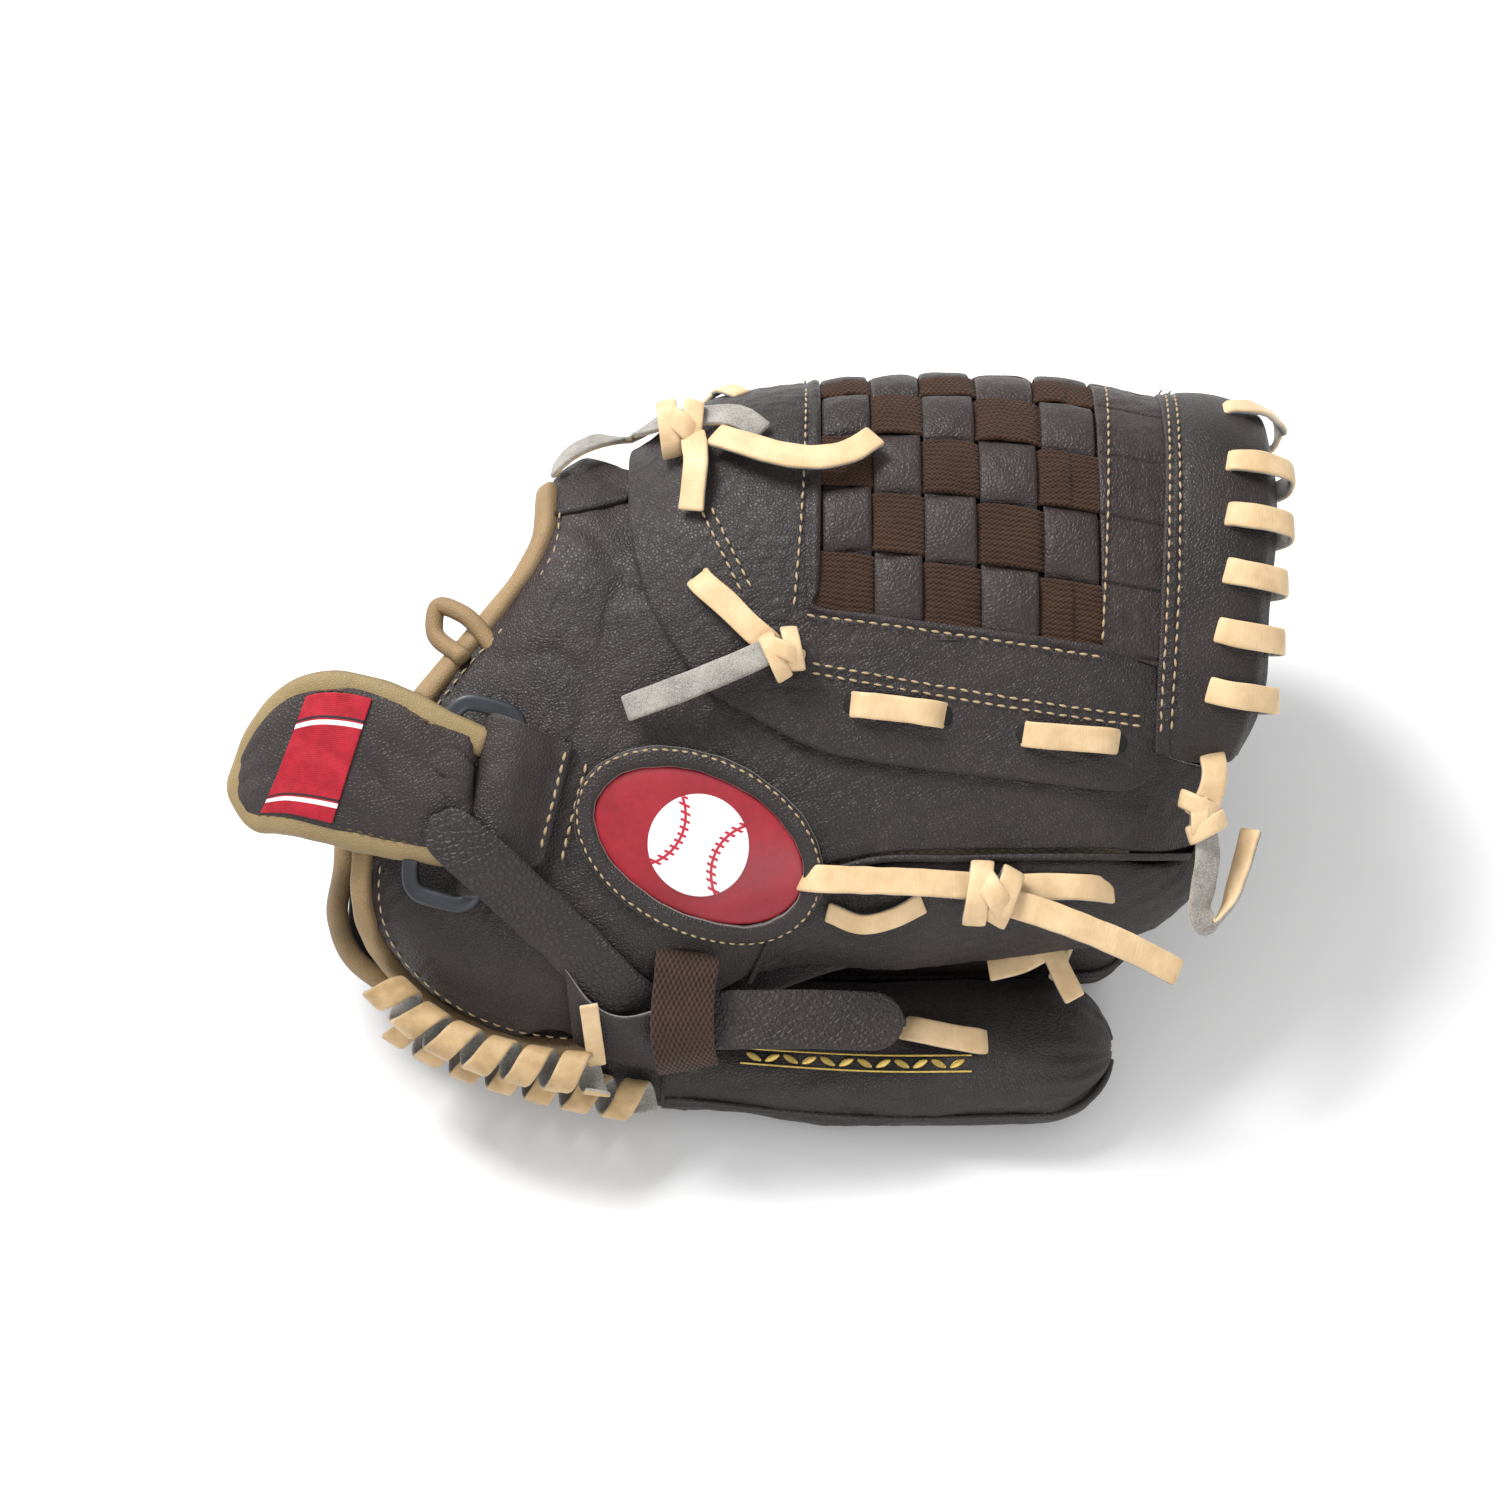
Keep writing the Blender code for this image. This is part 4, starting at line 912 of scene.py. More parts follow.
@dataclass
class ThumbShell:
    """The thumb's back: a broad upper panel, the front panel with its darker painted shade, the welt between, its
    bindings.
    """
    finishes: Finishes
    tip_turn: float = 0.02

    def hide(self, u: Array, arc: Array, s: Array, t: Array) -> Array:
        """Relief of the upper panel: soft swells, fold lines towards the crotch, a tip that turns in."""
        swell = 0.0011 * ripple(u, arc, 11, 0.06)
        crook = np.exp(-((u + 0.03) / 0.045) ** 2)
        folds = 0.001 * creases(u + arc * 0.5, arc * 0.35, 12, 0.026) * crook * ease((arc + 0.16) / 0.05)
        fine = 0.00022 * ripple(u, arc, 13, 0.0065)
        turn = -self.tip_turn * ease((u - 0.1315) / 0.012) ** 2
        return swell + folds + fine + turn

    def upper_panel(self) -> Piece:
        """One hide from the heel to the thumb's tip, under the tongue."""
        lower = SKIN.line(*mm((-118, 70), (-112, 58), (-97, 40.5), (-74, 29.5), (-50, 27.2), (-34, 30.5),
            (-18, 40), (-3, 48.5), (4.5, 63), (13, 78), (30, 85), (80, 87), (122, 86), (143, 89.5)))
        upper = SKIN.line(*mm((-118, 86), (-111, 112), (-100.5, 135.5), (-84, 157), (-71.5, 174),
            (-65.5, 196), (-46, 206), (-22, 196), (-4, 172), (10, 148), (30, 136), (74, 129), (115, 118),
            (143, 108)))
        shape = patch(lower, upper, -LEATHER / 2, (0.08, 0.3), (110, 300), relief=self.hide)
        return put("thumb_back_hide", shape, self.finishes.shell, Body.THUMB,
                   replaces=("thumb_upper_panel", "thumb_base_panel"))

    def front_panel(self) -> Piece:
        """The panel below the welt, painted darker as shade, bulging, its lower edge rolled under."""
        lower = SKIN.line(*mm((-4, 46.3), (12, 48), (33, 48.9), (72, 52), (102, 56.5), (127, 66.8),
            (141, 83)))
        upper = SKIN.line(*mm((3, 60), (12, 74.5), (31, 81.7), (70, 83.4), (100, 83.4), (128, 83.2),
            (143, 87.2)))

        def bulge(u: Array, arc: Array, s: Array, t: Array) -> Array:
            """A crown between the edges, a rolled lower edge, ripples and the turned-in tip."""
            crown = 0.0022 * np.sin(math.pi * np.clip(t, 0, 1)) ** 0.7 - 0.002 * ease((0.036 - u) / 0.022)
            return (crown - 0.0012 + 0.0008 * ripple(u, arc, 21, 0.035) + 0.00018
                * ripple(u, arc, 22, 0.006) - self.tip_turn * ease((u - 0.1305) / 0.012) ** 2)
        shape = patch(lower, upper, -LEATHER / 2, (0.034, 0.15), (60, 170), relief=bulge)
        return put("thumb_front_hide", shape, self.finishes.panel, Body.THUMB, replaces=("thumb_lower_panel",))

    def welt(self) -> Piece:
        """The leather cord sewn into the seam, and the one at the panel's crotch end."""
        low = skin_line(mm((-3, 47), (3.5, 61.5), (12.5, 76.2), (30, 83.3), (60, 84.6), (100, 85),
            (129, 84.6)), -0.0001, 150)
        top = skin_line(mm((-61, 188.5), (-52, 190.2), (-40.5, 193)), 0.0002, 40)
        shape = join([sweep(points, normals, 0.00115, 0.00115, 2.0, 10) for points, normals in (low, top)])
        return put("thumb_welt_cord", shape, self.finishes.palm, Body.THUMB, replaces=("thumb_welt",))

    def bindings(self) -> list[Piece]:
        """Tan bindings round the open back and the thumb's heel, folded over the hide's edge."""
        f = self.finishes
        near, up = skin_line(mm((-101, 132.5), (-92.5, 143), (-80, 157.5), (-70, 170.5), (-65.5, 180),
            (-64.5, 195)), 0.0003, 90)
        run = run_of(near)
        half = 0.0037 + 0.0003 * ripple(run, run, 31, 0.02)
        open_back = put("open_back_binding_fold", sweep(near, up, half, 0.0032, 2.4, 18), f.binding,
                        Body.THUMB, ("open_back_binding_near",))
        low, up = skin_line(mm((-119, 86), (-119.6, 76), (-116.5, 60), (-100.5, 40), (-74.5, 28.2),
            (-47, 26.2)), 0.0004, 110)
        run = run_of(low)
        heel = put("heel_binding_fold", sweep(low, up, 0.0031 + 0.0003 * ripple(run, run, 32, 0.018), 0.003,
                                              2.6, 18), f.binding, Body.THUMB,
                   ("thumb_heel_binding",))
        return [open_back, heel]

    def lining(self) -> list[Piece]:
        """The thumb's felt stall, its palm leather and its heel pad."""
        f = self.finishes
        liner = finger_stall(mm((-44, 90, -9.8, 25, 8.5, 0), (0, 93, -5.5, 24, 10.5, 0),
            (50, 95, -4.8, 23, 11, 0), (95, 94.5, -8.5, 19.5, 9, 0)), 0.018, 0.0022, 0.0004, 41)
        palm = loft(mm((-118, ((62, -15), (82, -18), (100, -20))),
            (-100, ((50, -18), (80, -21.5), (108, -21.5))), (-50, ((30, -17.5), (68, -22.5), (120, -24))),
            (30, ((51.5, -16.5), (90, -20.5), (136, -22))), (100, ((59, -20), (92, -24), (128, -24))),
            (134, ((76, -20), (94, -23), (114, -22.5)))), (40, 150), 0.0024, 0.0007, 42)
        pad = loft(mm((-94, ((58, -11), (70, -10), (84, -9.5))),
            (-56, ((42, -11.5), (58, -10), (78, -9.5)))), (24, 40), 0.006, 0.0003, 43, 0.006)
        heel = put("thumb_heel_cushion", pad, f.felt, Body.THUMB, ("heel_pad_thumb",))
        return [put("thumb_felt_stall", liner, f.felt, Body.THUMB, ("thumb_liner",)),
            put("thumb_palm_leather", palm, f.palm, Body.THUMB, ("palm_thumb_side",)), heel]

    def build(self) -> list[Piece]:
        """Every piece of the thumb's shell."""
        return [self.upper_panel(), self.front_panel(), self.welt(), *self.bindings(), *self.lining()]


def lifted(points: Array, spare: float = 0.0) -> Array:
    """Points raised to the surface that the glove rests on, or a spare height above it."""
    height = points @ UP + SEAT[2]
    return points + UP * np.maximum(0.0, 0.0004 + spare - height)[..., None]


def loft(sections: Sequence[tuple[float, Sequence[Pair]]], counts: tuple[int, int], thickness: float,
         rough: float, seed: int, radius: float = 0.0016) -> Shape:
    """A sheet through sections across the glove, each a smooth line of (v, w) places at one u."""
    lines = np.array([by_length([(u, v, w) for v, w in places], 25) for u, places in sections])
    size = (float(run_of(lines[len(lines) // 2])[-1]), float(run_of(lines[:, 12])[-1]))
    rows, columns = edged(counts[0], size[0], radius), edged(counts[1], size[1], radius)
    share = run_of(lines[:, 12]) / size[1]
    along = np.stack([smooth(np.column_stack([share, lines[:, j, k]]), columns)
                      for j in range(25) for k in range(3)], -1).reshape(len(columns), 25, 3)
    place = np.linspace(0.0, 1.0, 25)
    grid = np.stack([smooth(np.column_stack([place, along[i, :, k]]), rows) for i in range(len(columns))
        for k in range(3)], -1).reshape(len(rows), len(columns), 3)
    normals = normals_of(grid)
    wave = rough * ripple(grid[..., 0], grid[..., 1] + grid[..., 2], seed, 0.045)
    wave = wave + rough * 0.25 * ripple(grid[..., 0], grid[..., 1] + grid[..., 2], seed + 1, 0.008)
    grid = grid + normals * wave[..., None]
    return slab(lifted(grid, thickness / 2), normals, thickness, (rows, columns), size, radius)


def finger_stall(sections: Table, tip: float, wall: float, rough: float, seed: int,
                 gathers: float = 0.0) -> Shape:
    """A hollow stall, open at its base, with a round tip.

    Each ring is a superellipse whose size follows the sections; the tip's rings shrink as a
    cosine. Gathers are a sine round the tip, and the wall's inner side is moved in by its normal.

    Args:
        sections: u, v, w, half width, half thickness and tilt in degrees.
        tip: the tip's length.
        wall: the wall's thickness.
        rough: height of the soft ripples.
        seed: their seed.
        gathers: depth of the puckers at the tip.

    Returns:
        The stall.
    """
    table = np.array(sections, float)
    turn = np.radians(np.linspace(0.0, 88.0, 34)[1:])
    body = np.linspace(table[0, 0], table[-1, 0], 90)
    u = np.concatenate([body, table[-1, 0] + tip * np.sin(turn)])
    shrink = np.concatenate([np.ones(len(body)), np.cos(turn)])
    v, w, wide, thick, tilt = (smooth(table[:, (0, i)], u) for i in range(1, 6))
    tilt = np.radians(tilt)[:, None]
    angle = math.tau * (np.arange(96) + 0.5)[None, :] / 96
    power = 2 / 2.5
    a = np.sign(np.cos(angle)) * np.abs(np.cos(angle)) ** power * (wide * shrink)[:, None]
    b = np.sign(np.sin(angle)) * np.abs(np.sin(angle)) ** power * (thick * shrink)[:, None]
    rings = np.stack(np.broadcast_arrays(u[:, None], v[:, None] + a * np.cos(tilt) + b * np.sin(tilt),
                                         w[:, None] - a * np.sin(tilt) + b * np.cos(tilt)), -1)
    ahead, around = np.gradient(rings, axis=0), np.roll(rings, -1, 1) - np.roll(rings, 1, 1)
    normals = unit(np.cross(around, ahead))
    middle = rings.mean(axis=1, keepdims=True)
    normals = normals * np.sign(((rings - middle) * normals).sum(-1, keepdims=True))
    run = (u[:, None] - u[0]) + 0 * angle
    wave = rough * ripple(run, np.sin(angle) * 0.02 + rings[..., 1], seed, 0.03)
    wave = wave + rough * 0.3 * ripple(run, rings[..., 1] + rings[..., 2], seed + 1, 0.007)
    near_tip = ease((u - (table[-1, 0] - tip * 0.4)) / (tip * 0.9))[:, None] * (shrink ** 0.6)[:, None]
    wave = wave - gathers * near_tip * (0.5 + 0.5 * np.sin(angle * 17 + 0.7 * np.sin(angle * 3)))
    outer = lifted(rings + normals * wave[..., None])
    inner = rings - normals * (wall * np.minimum(1.0, shrink + 0.2))[:, None, None]
    inner = middle + (inner - middle) * np.where(shrink < 0.35, 0.75, 1.0)[:, None, None]
    inner[..., 0] -= (wall * (1 - shrink))[:, None]
    count = outer.shape[0] * 96
    index = np.arange(count).reshape(-1, 96)
    rim = np.stack([index[0], index[0] + count])
    faces = np.concatenate([grid_faces(index, True), grid_faces(index + count, True)[:, ::-1],
                            grid_faces(rim, True)[:, ::-1]])
    ends = [index[-1][::-1].tolist(), (index[-1] + count).tolist()]
    points = np.concatenate([outer.reshape(-1, 3), inner.reshape(-1, 3)])
    uv = np.stack(np.broadcast_arrays(run, angle * 0.02), -1).reshape(-1, 2)
    edge = np.zeros((outer.shape[0], 96))
    edge[0] = 0.7
    shape = Shape(points, faces.tolist(), np.concatenate([uv, uv]),
                  {"edge": np.concatenate([edge.ravel(), edge.ravel()]),
                   "front": np.concatenate([np.ones(count), np.zeros(count)])})
    first = shape.outward()
    first.faces += ends
    return fan_ends(first, ends)


def fan_ends(shape: Shape, ends: Sequence[Sequence[int]]) -> Shape:
    """Replace two tip rings' flat faces by faces that turn the way their rings do."""
    edges = {(face[i], face[(i + 1) % len(face)]) for face in shape.faces[:-len(ends)] for i in range(len(face))}
    keep = shape.faces[:-len(ends)]
    for ring in ends:
        ring = list(ring)
        if (ring[0], ring[1]) in edges:
            ring = ring[::-1]
        keep.append(ring)
    shape.faces = keep
    return shape


# Web ----------------------------------------------------------------------------------------

@dataclass
class Web:
    """The web: tongue, basket weave of leather and ribbed knit, column, end band and rim lace."""
    finishes: Finishes
    columns: tuple[float, ...] = (0.0262, 0.0412, 0.0568, 0.0742, 0.0925)
    widths: tuple[float, ...] = (0.0142, 0.014, 0.0152, 0.0168, 0.0158)
    rows: int = 9
    far_arc: float = 0.069
    lift: float = 0.0015
    base: float = 0.0012
    ribs: int = 11

    def low_arc(self, u: Array) -> Array:
        """Arc where the weave starts: its lower edge falls gently towards the fingertips."""
        return SKIN.near(u, 0.1575 - 0.142 * (np.asarray(u) - 0.017))

    def row_of(self, u: Array, arc: Array) -> Array:
        """Row number, counted from the lower edge, at a place on the weave."""
        low = self.low_arc(u)
        return (arc - low) / (self.far_arc - low) * self.rows

    def over(self, column: Union[int, Array], row: Array) -> Array:
        """Height of the leather in a cell, -1 to 1: a flattened sine that changes side each row."""
        wave = np.sin(math.pi * row)
        return np.sign(wave) * np.abs(wave) ** 0.45 * np.where(np.asarray(column) % 2 == 0, -1.0, 1.0)

    def leather(self) -> list[Piece]:
        """Five leather strips that pillow over every other knit ribbon."""
        made = []
        for k, (middle, width) in enumerate(zip(self.columns, self.widths)):
            low = float(self.low_arc(middle))
            lower = [(middle - width / 2 - 0.0002, low - 0.003), (middle - width / 2, self.far_arc)]
            upper = [(middle + width / 2, low - 0.003), (middle + width / 2, self.far_arc)]

            def pillow(u: Array, arc: Array, s: Array, t: Array, k: int = k) -> Array:
                """The weave's height, a crown across the strip and a slight ripple."""
                height = self.over(k, self.row_of(np.full(u.shape, self.columns[k]), arc))
                crown = np.sqrt(np.clip(1 - (2 * t - 1) ** 2, 0, 1))
                return self.lift * height + 0.001 * crown * ease(height) + 0.00012 * ripple(u, arc, 50 + k, 0.007)
            shape = patch(lower, upper, self.base, (width, 0.165), (22, 330), 0.0013, pillow, 0.001)
            made.append(put(f"weave_strip_{k + 1}", shape, self.finishes.web, Body.THUMB,
                            replaces=(f"web_leather_strap_{k + 1}",)))
        return made

    def knit(self) -> Piece:
        """Ribbed knit ribbons that cross the strips, one to a row, ribs along them."""
        shapes = []
        u = np.linspace(0.015, 0.1035, 150)
        across = edged(self.ribs * 7, 0.015, 0.0006)
        column = np.interp(u, self.columns, np.arange(5), left=-0.45, right=4.45)
        wave = np.cos(math.pi * column)
        weave = np.sign(wave) * np.abs(wave) ** 0.45
        for row in range(self.rows):
            low = self.low_arc(u)
            pitch = (self.far_arc - low) / self.rows
            share = 0.045 + 0.91 * across[:, None]
            arc = low + pitch * (row + share)
            wander = 0.00025 * ripple(u[None, :], arc, 70 + row, 0.012)
            side = 1.0 if row % 2 == 0 else -1.0
            phase = across[:, None] * self.ribs + 0.22 * ripple(u[None, :], arc, 90 + row, 0.01)
            ribs = np.abs(np.sin(math.pi * phase)) ** 0.8
            loops = 0.00005 * np.sin(math.tau * u[None, :] / 0.0011 + math.pi * np.floor(phase))
            crown = 0.0005 * np.sin(math.pi * across[:, None]) * ease(side * weave)[None, :]
            out = self.base + self.lift * 0.85 * side * weave[None, :] + 0.00042 * (ribs - 0.6) + loops + crown + wander
            uu = np.broadcast_to(u[None, :], arc.shape)
            shapes.append(slab(SKIN.point(uu, arc, out), SKIN.normal(uu, arc), 0.0012,
                               (across, np.linspace(0, 1, len(u))), (0.015, 0.0885), 0.0005))
        return put("web_knit_ribbons", join(shapes), self.finishes.knit, Body.THUMB,
                   ("web_knit_layer",))

    def backing(self) -> Piece:
        """A thin leather lining behind the weave, so nothing shows through."""
        us = (0.012, 0.04, 0.07, 0.104)
        lower = [(u, float(self.low_arc(u)) - 0.004) for u in us]
        upper = [(u, self.far_arc + 0.001) for u in us]
        shape = patch(lower, upper, -0.0026, (0.15, 0.092), (90, 50), 0.001)
        return put("web_back_lining", shape, self.finishes.palm, Body.THUMB)

    def tongue(self) -> Piece:
        """The tongue round the weave: down the crotch side, then along under the weave."""
        outer = [(0.01, 0.069), (0.004, 0.066), (-0.006, 0.06), (-0.018, 0.048), (-0.028, 0.03),
            (-0.0375, 0.01), *SKIN.line(*mm((-39.7, 205), (-39.5, 194), (-38.5, 180), (-33.5, 162),
            (-20.7, 140.7), (-11.4, 131.7), (9, 120.4), (29.9, 113.8), (60, 109.5), (89.8, 106.3),
            (107.8, 104.8), (116.8, 110.5)))]
        inner = [(0.019, 0.0695), (0.019, 0.066), (0.0188, 0.058), (0.0188, 0.046), (0.0187, 0.03),
            (0.0187, 0.01), *SKIN.line(*mm((18.7, 225.5), (18.7, 215), (18.4, 195), (18, 175), (17.4, 164),
            (16.8, 159.2), (29, 157.2), (46, 155), (68, 152.2), (90, 149.2), (105, 147), (118, 145)))]

        def folds(u: Array, arc: Array, s: Array, t: Array) -> Array:
            """Soft swells, pull lines beside the weave and a raised inner ledge."""
            swell = 0.0006 * ripple(u, arc, 61, 0.04) + 0.00018 * ripple(u, arc, 62, 0.006)
            seam = -0.0005 * np.exp(-((t - 0.93) / 0.02) ** 2)
            return swell + seam + 0.0009 * ease((t - 0.9) / 0.08) + 0.0004 * np.sin(math.pi * t)
        shape = patch(outer, inner, OVER_PANEL, (0.045, 0.36), (70, 420), LEATHER, folds, 0.0013)
        return put("web_tongue", shape, self.finishes.shell, Body.THUMB,
                   replaces=("web_side_panel", "web_lower_panel"))

    def column(self) -> Piece:
        """The plain column beside the weave, with a slit at every row."""
        low = float(self.low_arc(0.11))
        lower = [(0.1012, low - 0.0005), (0.101, -0.04), (0.1015, self.far_arc)]
        upper = [(0.1222, low - 0.0005), (0.124, -0.04), (0.124, self.far_arc)]

        def slits(u: Array, arc: Array, s: Array, t: Array) -> Array:
            """A narrow groove at each row's boundary and a light pillow between."""
            row = self.row_of(u, arc)
            to_cut = np.abs(row - np.round(row))
            groove = -0.0009 * np.exp(-(to_cut / 0.018) ** 2) * ease((0.92 - t) / 0.1)
            return groove + 0.0005 * np.sqrt(to_cut * 2) + 0.00015 * ripple(u, arc, 63, 0.007)
        shape = patch(lower, upper, OVER_PANEL + 0.0006, (0.022, 0.16), (34, 420), 0.0016, slits, 0.001)
        return put("web_column_hide", shape, self.finishes.web, Body.THUMB, replaces=("web_column_panel",))

    def rim(self, v: Array) -> Array:
        """The end band's outer edge: u at height v."""
        return smooth(mm((112.3, 142.2), (131.7, 150.3), (161.7, 152.7), (191.6, 156.2), (209.6, 156.2)), v)

    def band(self) -> Piece:
        """The padded band along the web's end, rounded at its rim."""
        heights = (0.115, 0.135, 0.16, 0.185, 0.205)
        lower = [*SKIN.line(*mm((115.8, 116.5), (117, 135), (118.2, 160), (119.8, 185), (121.2, 205))),
            (0.1216, 0.000), (0.1216, 0.034), (0.121, 0.066)]
        upper = [*SKIN.line(*((float(self.rim(np.array(v))), v) for v in heights)),
                 (0.1562, 0.000), (0.155, 0.032), (0.1535, 0.062)]

        def padding(u: Array, arc: Array, s: Array, t: Array) -> Array:
            """A crown towards the rim that turns over, and a sewn groove beside the cut edge."""
            groove = -0.0006 * (np.exp(-((t - 0.055) / 0.03) ** 2) + np.exp(-((t - 0.155) / 0.03) ** 2))
            turn = -0.0042 * ease((t - 0.8) / 0.2) ** 1.5
            return 0.0012 * np.sin(math.pi * np.clip(t, 0, 1) ** 0.8) + groove + turn + 0.0004 * ripple(u, arc, 65, 0.03)
        shape = patch(lower, upper, OVER_PANEL + 0.0018, (0.034, 0.17), (60, 240), 0.0028, padding, 0.0015)
        return put("web_end_band_hide", shape, self.finishes.shell, Body.THUMB, replaces=("web_end_band",))

    def rim_lace(self) -> list[Piece]:
        """Six flat loops that come out of punched holes and wrap over the rim."""
        places = mm((140.5, 215.5), (140, 200), (139.2, 185), (137.8, 169), (135.2, 152), (132.2, 134.5))
        loops, holes = [], []
        for i, (u, v) in enumerate(places):
            edge = float(self.rim(np.array(v - 0.002)))
            drop = 0.0032
            stops = ((u - 0.0012, v + 0.0004, 0.0000), (u + 0.0004, v, 0.0064),
                (u + 0.004, v - drop * 0.3, 0.0082), (edge - 0.004, v - drop * 0.75, 0.008),
                (edge + 0.0022, v - drop, 0.005), (edge + 0.0034, v - drop, 0.0005),
                (edge + 0.001, v - drop, -0.0034), (u + 0.005, v - drop * 0.6, -0.0042))
            turn = (0.0, 4.0, 4.0, 20.0, 52.0, 95.0, 150.0, 176.0)
            at = np.array([[a, b] for a, b, _ in stops])
            arc = SKIN.near(at[:, 0], at[:, 1])
            normals = SKIN.normal(at[:, 0], arc)
            swing = np.radians(turn)[:, None]
            faces = normals * np.cos(swing) + np.array((1.0, 0.0, 0.0)) * np.sin(swing)
            path = SKIN.point(at[:, 0], arc, np.array([c for _, _, c in stops]))
            loops.append(strap(path, faces, 0.008, 0.0019, 44, 5.0, 0.03, 100 + i))
            # Each hole is a disc of painted shadow.
            holes.append(hole_at(u - 0.001, v + 0.0004, 0.0052))
        return [put("web_rim_loops", join(loops), self.finishes.lace, Body.THUMB,
            ("web_rim_lace",)), put("web_rim_hole_shadows", join(holes), self.finishes.hole, Body.THUMB)]

    def seams(self) -> Piece:
        """Cream stitching: double on the tongue and the band, single round the weave."""
        top = OVER_PANEL + LEATHER / 2 + 0.0002
        lines = [skin_line(mm((14.4, 223.5), (13.6, 202), (12, 178), (10.2, 158)), top + 0.0006, 200),
            skin_line(mm((13.5, 156.2), (40, 153), (70, 148.8), (100, 144.2)), top + 0.0007, 260),
            skin_line(mm((15, 139.5), (40, 135), (70, 130), (95, 126.2), (113, 123.8)), top + 0.0004, 260),
            skin_line(mm((15, 142.3), (40, 137.8), (70, 132.8), (95, 129), (113, 126.6)), top + 0.0005,
            260), skin_line(mm((-16.5, 187), (-11.5, 176.5), (-4.5, 162)), top + 0.0004, 90),
            skin_line(mm((-13.7, 188), (-8.7, 177.5), (-1.7, 163.2)), top + 0.0004, 90),
            skin_line(mm((105, 224), (104, 206), (103, 185), (101, 150)), top + 0.001, 240),
            skin_line(mm((123.2, 219.5), (121.6, 195), (119.6, 160), (117.2, 123.5)), top + 0.0028, 260),
            skin_line(mm((126.4, 219.5), (125, 195), (123, 160), (120.3, 122.5)), top + 0.0028, 260),
            arc_line(mm((14.4, -4), (14.4, 30), (14.4, 66)), top + 0.0006, 160),
            arc_line(mm((123.6, -4), (123.8, 30), (123.2, 62)), top + 0.0028, 160),
            arc_line(mm((126.8, -4), (127, 30), (126.4, 62)), top + 0.0028, 160)]
        return put("web_stitching", join([stitches(p, n, seed=200 + i) for i, (p, n) in enumerate(lines)]),
                   self.finishes.thread, Body.THUMB)

    def build(self) -> list[Piece]:
        """Every piece of the web."""
        return [self.backing(), self.knit(), *self.leather(), self.tongue(), self.column(), self.band(),
                *self.rim_lace(), self.seams()]


def hole_at(u: float, v: float, out: float, radius: float = 0.0021, tall: float = 1.5) -> Shape:
    """A punched hole: a shallow oval set on the leather, painted near black as the shadow inside the hole."""
    angle = math.tau * np.arange(18) / 18
    share = np.array((1.0, 0.9, 0.4))
    rise = np.array((-0.0004, 0.00012, 0.00014))
    uu = u + radius * share[:, None] * np.cos(angle)
    vv = v + radius * tall * share[:, None] * np.sin(angle)
    arc = SKIN.near(uu, vv)
    grid = SKIN.point(uu, arc, out + rise[:, None] + 0 * uu).reshape(-1, 3)
    index = np.arange(54).reshape(3, 18)
    faces = grid_faces(index, True).tolist() + [index[0][::-1].tolist(), index[-1].tolist()]
    return Shape(grid, faces, np.zeros((54, 2))).outward()


# Emblem -------------------------------------------------------------------------------------

